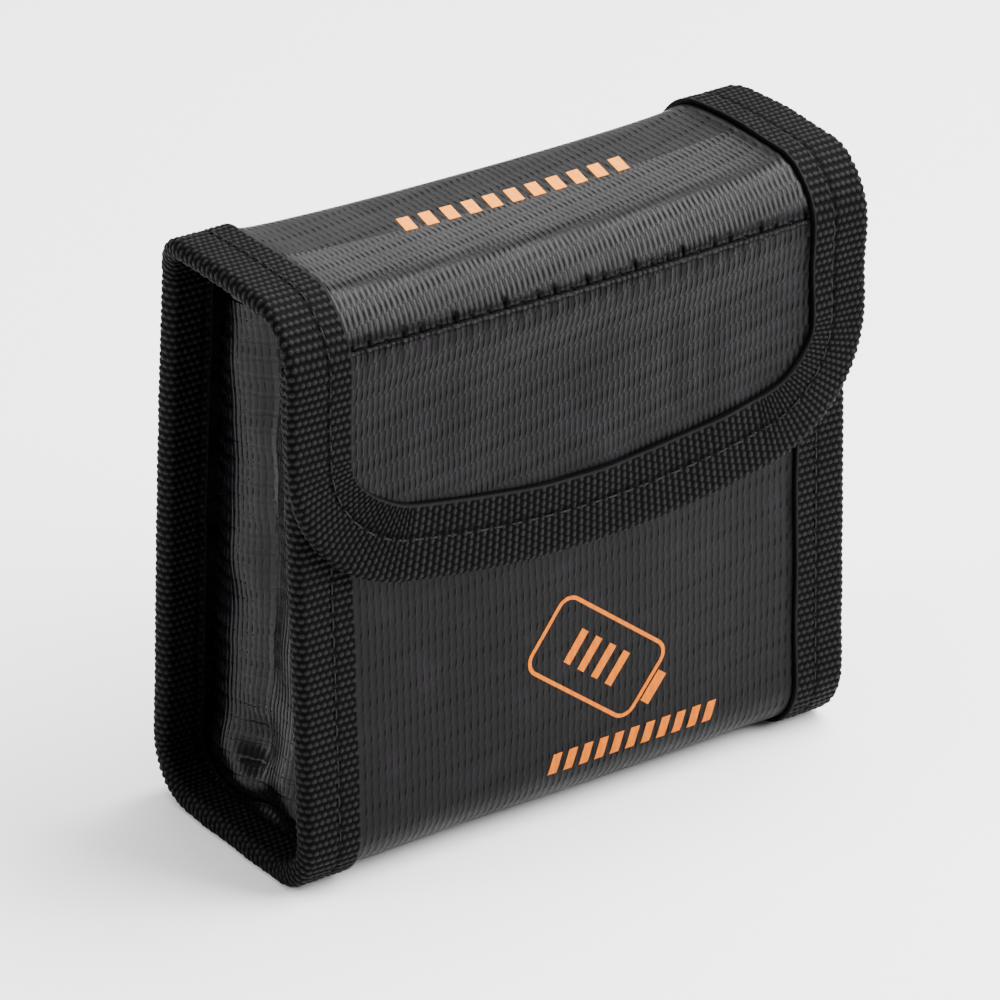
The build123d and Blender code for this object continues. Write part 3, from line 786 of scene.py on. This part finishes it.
walls, lid_cloth = layer_pieces("outer_cloth", 0.0, -CLOTH_T, CLOTH, 0.8)
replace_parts(walls, "outer_cloth")
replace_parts(lid_cloth, "lid_cloth")
x, s = flap_grid(0.32, FLAP_INSET, (S_CROSS_ROW - 2.4, S_CROSS_ROW + 3.0, 0.22))
flap_cloth = bend_flap(shell("flap_outer_cloth", x, s, 0.0, -CLOTH_T, FLAP_CLOTH, dips=True))
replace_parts(flap_cloth, "flap_cloth")

core_top, core_low = -CLOTH_T - LAYER_GAP, -CLOTH_T - CORE_T
felt, lid_felt = layer_pieces("felt_core", core_top, core_low, FELT, 2.0)
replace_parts(felt, "felt_core")
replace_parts(lid_felt, "lid_felt")
lining, lid_lining = layer_pieces("lining", core_low - LAYER_GAP, -WALL_T, LINING, 1.4)
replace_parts(lining, "lining")
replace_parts(lid_lining, "lid_lining")
S_FELT_END = S_FOLD0 + 0.2
half_x = HALF_LID - FLAP_INSET
x, s = np.meshgrid(spread(-half_x, half_x, 2.0), spread(S_MID_LID, S_FELT_END, 2.0))
front_felt = bend_flap(shell("felt_core_lid_front", x, s, core_top, core_low, FELT))
x, s = flap_grid(1.2, FLAP_INSET, (S_FOLD0, S_FOLD1, 1.0))
lining_top = core_top - CORE_T * (1 - eased((s - S_FOLD0) / 4, 0, 1))
flap_lining = bend_flap(
    shell("flap_lining_cloth", x, s, lining_top, lining_top - LINING_T + LAYER_GAP, LINING)
)
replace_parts(flap_lining, "flap_lining")

# ---- bindings ----
END_THICK = WALL_T + FLAP_T
S_TAPE_JOIN = S_BACK0 - 1.0  # where the end binding passes into the lid's
END_WIDTH = TAPE_REACH / FLAP_TAPE_REACH
INNER_REACH = 8.0
LID_WIDTH = 0.92
FOOT_WIDTH = 1.1
TURN_IN_S = (0.06, 0.21, 0.36)  # where the end tapes' turned-in ends lie

for side, name in ((-1, "left"), (1, "right")):
    edge = straight_edge(side, HALF_BODY, 0.0, S_TAPE_JOIN)
    end_tape = tape(
        "end_binding_tape_" + name, edge, END_THICK, TAPE_REACH, WEBBING, seed=1, start=-S_MID_LID,
        reach_in=INNER_REACH,
    )
    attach(end_tape, "bag")
    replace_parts(end_tape, "end_binding_" + name)
    u, x, s, mx, ms = straight_edge(side, HALF_BODY, S_TAPE_JOIN, S_MID_LID)
    x = x + side * LID_OVERHANG * eased(s, S_BACK0, S_BACK1 + 2)
    stack = END_THICK + (WALL_T - END_THICK) * eased(s, S_TAPE_JOIN, S_BACK1 - 3)
    width = END_WIDTH + (LID_WIDTH - END_WIDTH) * eased(s, S_TAPE_JOIN, S_BACK1)
    lid_tape = tape(
        "lid_tape_" + name, (u, x, s, mx, ms), stack, FLAP_TAPE_REACH, WEBBING, seed=1,
        start=S_TAPE_JOIN - S_MID_LID, width=width,
    )
    bend_lid(lid_tape)
    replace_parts(lid_tape, "lid_binding_" + name)
edge = flap_edge()
stack = WALL_T + (FLAP_T - WALL_T) * np.clip((edge[2] - S_FOLD0) / 5, 0, 1)
rib = edge[0][-1] / round(edge[0][-1] / RIB_PITCH)
width = LID_WIDTH + (FOOT_WIDTH - LID_WIDTH) * eased(edge[2], s_flap(76), s_flap(56))
flap_tape = tape("flap_tape", edge, stack, FLAP_TAPE_REACH, WEBBING, seed=1, pitch=rib, width=width)
bend_flap(flap_tape)
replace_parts(flap_tape, "flap_binding")
mouth_half = GUSSET_X - 1.0
u = spread(0, 2 * mouth_half, ROW_STEP)
edge = (u, u - mouth_half, 0 * u, 0 * u, 1 + 0 * u)
mouth_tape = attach(tape("mouth_tape", edge, WALL_T, MOUTH_TAPE_REACH, WEBBING, seed=9), "bag")
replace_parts(mouth_tape, "mouth_binding")

# the end tapes' upper ends, turned in over the wall's cut edge
for side, name in ((-1, "left"), (1, "right")):
    x = spread(HALF_BODY - TAPE_REACH + 0.1, HALF_BODY - EDGE_ROUND, 0.5)
    x, s = np.meshgrid(side * (x if side > 0 else x[::-1]), TURN_IN_S)
    turned = shell("turned_tape_end_" + name, x, s, 0.05, -WALL_T - 0.05, WEBBING)
    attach(turned, "bag")


# ---- gussets: slack end panels, sewn in along three sides and wrinkled by a cloth simulation ----
SEAM_T = WALL_T + 0.55  # from the walls' outer face to the gusset's sewn flange


def gusset_ring():
    """Knots of the walls' inner faces below the mouth, as (z, front y, back y)."""
    radius = BASE_R - SEAM_T
    rows = []

    def add(z, inset):
        front, back = front_y(z) + SEAM_T * FRONT_STRETCH, back_y(z) - SEAM_T * BACK_STRETCH
        rows.append((z, front + inset, back - inset))

    for angle in np.linspace(0, math.pi / 2, 13):
        add(BASE_Z + SEAM_T + radius * (1 - math.cos(angle)), radius * (1 - math.sin(angle)))
    for z in spread(rows[-1][0], MOUTH_Z, 1.0)[1:]:
        add(z, 0)
    rows = np.array(rows)
    s = S_HEEL1 + (rows[:, 0] - BASE_Z - BASE_R) * BACK_STRETCH
    rows[:, 2] += swell(np.full(len(rows), GUSSET_X), np.maximum(s, S_HEEL1))
    return rows


GUSSET_COLUMNS = 46
GUSSET_SLACK = 0.045
GUSSET_FRAMES = 26
FLANGE = (5.0, 2.6, 0.9)  # how far the sewn flange's rows lie outside the panel
FOOT_BULGE = 4.4
CLOTH_SETTINGS = {
    "quality": 8, "mass": 0.12, "tension_stiffness": 40, "compression_stiffness": 40, "shear_stiffness": 15,
    "bending_stiffness": 0.25, "air_damping": 6, "shrink_min": -GUSSET_SLACK,
}


def gusset_points(side):
    """The panel before it is let go: rows upwards, columns front to back, with flanges on the walls."""
    ring = gusset_ring()
    share = np.linspace(0, 1, GUSSET_COLUMNS)
    y = ring[:, 1][:, None] * (1 - share) + ring[:, 2][:, None] * share
    z = np.broadcast_to(ring[:, 0][:, None], y.shape)
    x = np.full(y.shape, GUSSET_X)
    rise = (z - ring[0, 0]) / (MOUTH_Z - ring[0, 0])
    ease = np.sin(math.pi * share)[None, :] ** 0.4 * np.clip(rise * 22, 0, 1)
    # the first lie of the slack: a fold that stands out at the upper front, a long crease behind it
    t = share[None, :]
    low = np.clip(1 - rise / 0.32, 0, 1)
    x = x + ease * (
        3.0 * np.exp(-(((t - 0.22) / 0.14) ** 2) - ((rise - 0.93) / 0.16) ** 2)
        + 1.2 * np.exp(-(((t - 0.3) / 0.16) ** 2))
        - 1.0 * np.exp(-(((t - 0.56) / 0.06) ** 2)) * np.clip(rise * 2, 0, 1)
        + 3.4 * np.exp(-(((t - 0.84) / 0.17) ** 2)) * (0.6 + 0.4 * rise)
        + 0.5 * waves(y, z, 31 + side, 16)
        + 1.3 * low * waves(y, z, 47 + side, 15)
    )
    x = x + FOOT_BULGE * np.exp(-rise / 0.16) * np.sin(math.pi * share)[None, :] ** 0.35
    grid = np.stack([side * x, y, z], -1)
    flange = []
    for out in FLANGE:
        row = grid[:1].copy()
        row[..., 0] = side * np.maximum(np.abs(row[..., 0]) + 0.15 * out, GUSSET_X + out)
        flange.append(row)
    grid = np.concatenate([*flange, grid])

    def sewn(edge, out):
        column = edge.copy()
        column[..., 0] = side * np.maximum(np.abs(column[..., 0]), GUSSET_X + out)
        return column

    front = [sewn(grid[:, :1], out) for out in FLANGE]
    back = [sewn(grid[:, -1:], out) for out in FLANGE[::-1]]
    return np.concatenate([*front, grid, *back], 1)


def settle(obj, pinned):
    """Lets the pinned panel wrinkle under its slack, and returns its points in millimetres."""
    group = obj.vertex_groups.new(name="sewn")
    group.add([int(i) for i in pinned], 1.0, "REPLACE")
    cloth = obj.modifiers.new("cloth", "CLOTH")
    for key, value in CLOTH_SETTINGS.items():
        setattr(cloth.settings, key, value)
    cloth.settings.vertex_group_mass = "sewn"
    cloth.settings.effector_weights.gravity = 0.25
    cloth.point_cache.frame_start = 1
    cloth.point_cache.frame_end = GUSSET_FRAMES
    scene = bpy.context.scene
    for number in range(1, GUSSET_FRAMES + 1):
        scene.frame_set(number)
    graph = bpy.context.evaluated_depsgraph_get()
    points = np.array([v.co for v in obj.evaluated_get(graph).data.vertices], float) / MM
    scene.frame_set(1)
    obj.modifiers.clear()
    return points


def smooth_double(grid):
    """A grid with twice as many rows and columns, along smooth curves through the old ones."""
    for axis in (0, 1):
        g = np.moveaxis(grid, axis, 0)
        padded = np.concatenate([2 * g[:1] - g[1:2], g, 2 * g[-1:] - g[-2:-1]])
        middle = (9 * (padded[1:-2] + padded[2:-1]) - padded[:-3] - padded[3:]) / 16
        made = np.zeros((2 * len(g) - 1, *g.shape[1:]))
        made[::2], made[1::2] = g, middle
        grid = np.moveaxis(made, 0, axis)
    return grid


def grid_normals(grid):
    du, dv = np.gradient(grid, axis=0), np.gradient(grid, axis=1)
    n = np.cross(du, dv)
    return n / np.maximum(np.linalg.norm(n, axis=-1, keepdims=True), 1e-9)


def gusset(side, name):
    rest = gusset_points(side)
    rows, columns = rest.shape[:2]
    uv = rest[..., 1:]
    trial = make_mesh("gusset_trial", rest, list(grid_faces(rows, columns)))
    index = np.arange(rows * columns).reshape(rows, columns)
    pinned = np.unique(np.concatenate([index[:4].ravel(), index[:, :4].ravel(), index[:, -4:].ravel()]))
    points = settle(trial, pinned).reshape(rest.shape)
    bpy.data.objects.remove(trial)
    points, uv = smooth_double(points), smooth_double(uv)
    rows, columns = points.shape[:2]
    out = grid_normals(points)
    out = out * np.sign(np.mean(out[rows // 2 :, columns // 3 : -columns // 3, 0]) * side)
    faces = shell_faces(rows, columns)
    if side < 0:
        faces = [f[::-1] for f in faces]
    uvs = np.concatenate([uv.reshape(-1, 2)] * 2)
    made = []
    for kind, top, low, shade, slot in (
        ("gusset_outer_cloth_", 0.0, -CLOTH_T, GUSSET_CLOTH, "outer_cloth"),
        ("gusset_lining_cloth_", -CLOTH_T - LAYER_GAP, -FLAP_T, LINING, "lining_cloth"),
    ):
        both = np.concatenate([(points + out * top).reshape(-1, 3), (points + out * low).reshape(-1, 3)])
        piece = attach(make_mesh(kind + name, both, faces, uvs, shade), "bag")
        made.append(piece)
    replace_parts(made[0], "gusset_cloth_" + name)
    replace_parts(made[1], "gusset_lining_" + name)


gusset(-1, "left")
gusset(1, "right")


# ---- thread ----
THREAD_SIDES = 6
THREAD_STEPS = 7


def threads(name, centres, alongs, normals, sink=0.22, length=STITCH_PITCH - 0.3, shader=None):
    """Short bowed threads that dive into the cloth at both ends."""
    centres, alongs, normals = (v.reshape(-1, 1, 1, 3) for v in (centres, alongs, normals))
    sides = np.cross(alongs, normals)
    t = np.linspace(-1, 1, THREAD_STEPS)[None, :, None, None]
    turn = np.linspace(0, 2 * math.pi, THREAD_SIDES, endpoint=False)[None, None, :, None]
    radius = THREAD_W / 2 * np.sqrt(np.clip(1 - np.abs(t) ** 4, 0.04, 1))
    spine = centres + alongs * t * length / 2 + normals * (0.26 - 0.5 * t**4 - sink)
    points = spine + sides * np.cos(turn) * radius + normals * np.sin(turn) * radius * 0.85
    count = points.shape[0]
    index = np.arange(count * THREAD_STEPS * THREAD_SIDES).reshape(count, THREAD_STEPS, THREAD_SIDES)
    faces = list(tube_faces(index)[:, ::-1]) + list(index[:, 0]) + list(index[:, -1][:, ::-1])
    return make_mesh(name, points, faces, None, shader or THREAD, sharp=80)


def strip_frame(x, s, h, dx, ds):
    """Centres, directions and normals of stitches that lie on the strip."""
    centre = place(x, s, h)
    step = 0.2
    ahead = place(x + dx * step, s + ds * step, h) - place(x - dx * step, s - ds * step, h)
    ahead = ahead / np.linalg.norm(ahead, axis=-1, keepdims=True)
    angle = at(s)[2]
    normal = np.stack([0 * angle, np.sin(angle), -np.cos(angle)], -1)
    normal = normal - ahead * np.sum(normal * ahead, -1, keepdims=True)
    return centre, ahead, normal / np.linalg.norm(normal, axis=-1, keepdims=True)


def row_places(lo, hi):
    count = int((hi - lo - STITCH_LENGTH) / STITCH_PITCH) + 1
    return (lo + hi) / 2 + (np.arange(count) - (count - 1) / 2) * STITCH_PITCH


def along_s(x, lo, hi, h):
    s = row_places(lo, hi)
    return strip_frame(x + 0 * s, s, h, 0 * s, 1 + 0 * s)


def joined(*frames):
    return [np.concatenate(parts) for parts in zip(*frames)]


for side, name in ((-1, "left"), (1, "right")):
    row_x = side * (HALF_BODY - ROW_SHARE * TAPE_REACH)
    rows = joined(along_s(row_x, 1, S_BASE0 + 2, TAPE_T), along_s(row_x, S_HEEL1, S_BACK0 - 4, TAPE_T))
    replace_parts(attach(threads("end_threads_" + name, *rows), "bag"), "end_stitches_" + name)
    row_x = side * (HALF_LID - ROW_SHARE * FLAP_TAPE_REACH)
    rows = along_s(row_x, S_BACK0, S_MID_LID, TAPE_T)
    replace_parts(bend_lid(threads("lid_threads_" + name, *rows)), "lid_stitches_" + name)

u, x, s, mx, ms = flap_edge(ROW_SHARE * FLAP_TAPE_REACH)
picks = np.interp(row_places(0, u[-1]), u, np.arange(len(u))).astype(int)
flap_rows = strip_frame(x[picks], s[picks], TAPE_T, ms[picks], -mx[picks])
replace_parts(bend_flap(threads("flap_threads", *flap_rows)), "flap_edge_stitches")
row_x = cross_row_xs()
rows = strip_frame(row_x, S_CROSS_ROW + 0 * row_x, -GROOVE_DEPTH, 1 + 0 * row_x, 0 * row_x)
fold_threads = threads("fold_threads", *rows, sink=0.16, length=STITCH_PITCH - 0.1, shader=SHADED_THREAD)
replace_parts(bend_flap(fold_threads), "fold_stitches")


# ---- hook and loop ----
def patch_plate(name, out, body, shade, to_strip):
    """A woven rectangle on the front wall or under the flap, between two levels."""
    across = spread(-PATCH_WIDTH / 2, PATCH_WIDTH / 2, 1.0)
    x, z = np.meshgrid(across, spread(PATCH_LOW_Z + PATCH_HEIGHT, PATCH_LOW_Z, 1.0))
    s = to_strip(z)
    points = np.concatenate([place(x, s, out[1]).reshape(-1, 3), place(x, s, out[0]).reshape(-1, 3)])
    uv = np.stack([x, s], -1).reshape(-1, 2)
    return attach(make_mesh(name, points, shell_faces(*x.shape), np.concatenate([uv, uv]), shade), body)


TUFT_KNOTS = 6
TUFT_BOW = 0.24
TUFT_THICK = 0.055


def tufts(name, count, level, up, body, shade, hooked, seed, to_strip):
    """Many small bent filaments standing on a patch: closed loops, or hooks open at one end."""
    rng = np.random.default_rng(seed)
    x = rng.uniform(-PATCH_WIDTH / 2 + 0.4, PATCH_WIDTH / 2 - 0.4, count)
    z = rng.uniform(PATCH_LOW_Z + 0.4, PATCH_LOW_Z + PATCH_HEIGHT - 0.4, count)
    if hooked:
        rows = int(math.sqrt(count * PATCH_HEIGHT / PATCH_WIDTH))
        columns = count // rows
        gx, gz = np.meshgrid(np.linspace(-1, 1, columns), np.linspace(0, 1, rows))
        x = gx.ravel() * (PATCH_WIDTH / 2 - 0.6) + rng.uniform(-0.08, 0.08, gx.size)
        z = PATCH_LOW_Z + 0.6 + gz.ravel() * (PATCH_HEIGHT - 1.2) + rng.uniform(-0.08, 0.08, gx.size)
    count = len(x)
    base, ahead, normal = strip_frame(x, to_strip(z), level, 1 + 0 * x, 0 * x)
    normal = normal * up
    spin = (rng.choice([0, math.pi], count) if hooked else rng.uniform(0, 2 * math.pi, count))[:, None]
    side = ahead * np.cos(spin) + np.cross(ahead, normal) * np.sin(spin)
    tall = rng.uniform(0.28, 0.42, count)[:, None, None]
    sweep = np.linspace(0, math.pi * (0.8 if hooked else 1.0), TUFT_KNOTS)[None, :, None]
    spine = base[:, None] + side[:, None] * TUFT_BOW * (1 - np.cos(sweep))
    spine = spine + normal[:, None] * tall * np.sin(sweep) ** 0.6
    across = np.cross(side, normal)[:, None] * TUFT_THICK
    ring = np.stack([spine + across, spine + normal[:, None] * TUFT_THICK * 1.6, spine - across], 2)
    index = np.arange(count * TUFT_KNOTS * 3).reshape(count, TUFT_KNOTS, 3)
    faces = list(tube_faces(index)) + list(index[:, 0][:, ::-1]) + list(index[:, -1])
    uv = np.broadcast_to(np.stack([x, z], -1)[:, None, None], (*index.shape, 2))
    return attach(make_mesh(name, ring, faces, uv.reshape(-1, 2), shade, sharp=80), body)


loop_base = patch_plate("loop_tape_base", (-0.05, 0.32), "bag", LOOP, s_front)
loop_tufts = tufts("loop_tape_loops", 3600, 0.3, 1, "bag", LOOP, False, 4, s_front)
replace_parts(loop_base, "loop_patch")
inner_face = -FLAP_T
hook_base = patch_plate("hook_tape_base", (inner_face - 0.3, inner_face - 0.02), "flap", HOOK, s_flap)
hook_tufts = tufts("hook_tape_hooks", 2000, inner_face - 0.28, -1, "flap", HOOK, True, 8, s_flap)
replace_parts(hook_base, "hook_patch")
PATCH_ROW_INSET = 1.6
half_x = PATCH_WIDTH / 2 - PATCH_ROW_INSET
low_z, high_z = PATCH_LOW_Z + PATCH_ROW_INSET, PATCH_LOW_Z + PATCH_HEIGHT - PATCH_ROW_INSET
xs = row_places(-half_x, half_x)
rows = [strip_frame(xs, s_front(z) + 0 * xs, 0.36, 1 + 0 * xs, 0 * xs) for z in (low_z, high_z)]
rows += [along_s(x, s_front(high_z), s_front(low_z), 0.36) for x in (-half_x, half_x)]
patch_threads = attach(threads("loop_patch_threads", *joined(*rows)), "bag")
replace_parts(patch_threads, "loop_patch_stitches")

# ---- print ----
INK_T = 0.09
INK_STEP = 0.7


def ribbon(left, right, steps):
    """Grid points between two lines of (a, b) points."""
    share = np.linspace(0, 1, steps)[:, None, None]
    return np.asarray(left)[None] * (1 - share) + np.asarray(right)[None] * share


def printed(name, ribbons, to_strip, body, shade, node):
    """Ink that lies on the cloth, from ribbons of points that to_strip turns into (x, s)."""
    points, uvs, faces = [], [], []
    first = 0
    for grid in ribbons:
        x, s = to_strip(grid[..., 0], grid[..., 1])
        rows, columns = x.shape
        top, low = place(x, s, INK_T), place(x, s, -0.05)
        points += [top.reshape(-1, 3), low.reshape(-1, 3)]
        uvs += [np.stack([x, s], -1).reshape(-1, 2)] * 2
        (dx_down, dx_across), (ds_down, ds_across) = (
            (np.diff(v, axis=0)[:, :-1], np.diff(v, axis=1)[:-1]) for v in (x, s)
        )
        area = np.sum(dx_across * ds_down - dx_down * ds_across)
        faces += [(f if area > 0 else f[::-1]) + first for f in shell_faces(rows, columns)]
        first += 2 * rows * columns
    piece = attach(make_mesh(name, np.concatenate(points), faces, np.concatenate(uvs), shade), body)
    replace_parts(piece, node)
    return piece


def bars(count, pitch, height):
    """A row of slanted bars about the origin."""
    made = []
    half_w, half_h, lean = pitch * 0.55 / 2, height / 2, 0.6
    for i in range(count):
        mid = (i - (count - 1) / 2) * pitch
        b = np.linspace(-half_h, half_h, 9)
        slant = lean * b / half_h
        left = np.stack([mid - half_w + slant, b], -1)
        right = np.stack([mid + half_w + slant, b], -1)
        made.append(ribbon(left, right, 4))
    return made


def rounded_ring(length, width, radius, line):
    """An outline of a rounded rectangle as one ribbon."""
    knots = []
    for cx, cy, start in ((1, 1, 0), (-1, 1, 90), (-1, -1, 180), (1, -1, 270)):
        for angle in np.radians(np.linspace(start, start + 90, 9)):
            base = ((length / 2 - radius) * cx, (width / 2 - radius) * cy)
            knots.append((*base, math.cos(angle), math.sin(angle)))
    ring = np.array(knots + knots[:1])
    base, out = ring[:, :2], ring[:, 2:]
    outer, inner = base + out * radius, base + out * (radius - line)
    made = []
    for k in range(len(knots)):
        steps = max(2, int(np.hypot(*(outer[k + 1] - outer[k])) / INK_STEP) + 1)
        share = np.linspace(0, 1, steps)[:, None]
        made.append(ribbon(*(v[k] * (1 - share) + v[k + 1] * share for v in (outer, inner)), 3))
    return made


def block(x0, x1, y0, y1):
    b = np.linspace(y0, y1, max(2, int((y1 - y0) / INK_STEP)))
    across = max(2, int((x1 - x0) / INK_STEP))
    return ribbon(np.stack([x0 + 0 * b, b], -1), np.stack([x1 + 0 * b, b], -1), across)


icon = rounded_ring(27.0, 15.0, 3.0, 0.7) + [block(13.9, 15.9, -3.0, 3.0)]
icon += [block(c - 0.8, c + 0.8, -3.2, 3.2) for c in (-5.4, -1.8, 1.8, 5.4)]
tilt = math.radians(-38.0)


def icon_to_strip(a, b):
    x = 3.0 + a * math.cos(tilt) - b * math.sin(tilt)
    z = 28.5 + a * math.sin(tilt) + b * math.cos(tilt)
    return x, s_front(z)


def front_to_strip(a, b):
    return 10.6 + a, s_front(11.0 + b)


def lid_to_strip(a, b):
    return 1.6 + a, s_lid(-0.6 + b)


printed("battery_symbol", icon, icon_to_strip, "bag", FRONT_INK, "front_icon")
printed("front_bars", bars(11, 3.2, 3.6), front_to_strip, "bag", FRONT_INK, "front_dashes")
printed("top_bars", bars(11, 4.2, 4.8), lid_to_strip, "lid", TOP_INK, "top_dashes")


# ---- floor, light and camera ----
def stage_material():
    sh = Shader("pale_floor")
    place_at = sh.object_place()
    share = sh.noise(place_at, 3.0, 3)
    return sh.finish(Base_Color=sh.mix(share, (0.80, 0.80, 0.80, 1), (0.84, 0.84, 0.84, 1)), Roughness=0.9)


FLOOR_HALF = 4000.0
corners = [(FLOOR_HALF * x, FLOOR_HALF * y, 0) for x, y in ((-1, -1), (1, -1), (1, 1), (-1, 1))]
floor = make_mesh("floor", corners, [np.array([0, 1, 2, 3])], None, stage_material())


def placed(obj, place_at, look):
    """Stands a light or the camera in the scene, looking one way."""
    obj.location = place_at
    obj.rotation_mode = "QUATERNION"
    obj.rotation_quaternion = look.to_track_quat("-Z", "Y")
    bpy.context.scene.collection.objects.link(obj)
    return obj


CENTRE = Vector((0.0, 0.0, 0.06))


def box_towards(name, direction, distance, size, radiance):
    """A softbox that the object sees in one direction, as bright as radiance."""
    light = bpy.data.lights.new(name, "AREA")
    light.shape = "RECTANGLE"
    light.size, light.size_y = size
    light.energy = radiance * math.pi * size[0] * size[1]
    place_at = CENTRE + Vector(direction).normalized() * distance
    placed(bpy.data.objects.new(name, light), place_at, CENTRE - place_at)


box_towards("overhead_box", (0.05, 0.05, 1.0), 1.75, (2.0, 2.0), 4.4)
box_towards("top_box", (0.51, -0.02, 0.86), 1.2, (0.8, 0.8), 17.0)
box_towards("front_box", (0.51, -0.58, 0.64), 1.1, (0.6, 0.8), 25.0)
box_towards("rear_box", (0.51, 0.735, 0.448), 1.4, (1.1, 0.8), 2.6)
box_towards("left_box", (-0.8, 0.2, 0.56), 1.0, (0.3, 0.4), 16.0)
studio = bpy.data.worlds.new("studio")
studio.use_nodes = True
background = studio.node_tree.nodes["Background"]
background.inputs["Color"].default_value = (1.0, 1.0, 1.0, 1)
background.inputs["Strength"].default_value = 0.3
bpy.context.scene.world = studio

azimuth, elevation = math.radians(-34.74), math.radians(26.62)
level = math.cos(elevation)
back = Vector((math.sin(azimuth) * level, -math.cos(azimuth) * level, math.sin(elevation)))
target = Vector((0, 0.0011, 0.05))
camera_data = bpy.data.cameras.new("camera")
camera_data.lens = 215.4
camera_data.sensor_width = 36.0
camera_data.shift_x, camera_data.shift_y = 0.0002, -0.0067
camera = bpy.data.objects.new("camera", camera_data)
bpy.context.scene.camera = placed(camera, target + back, -back)
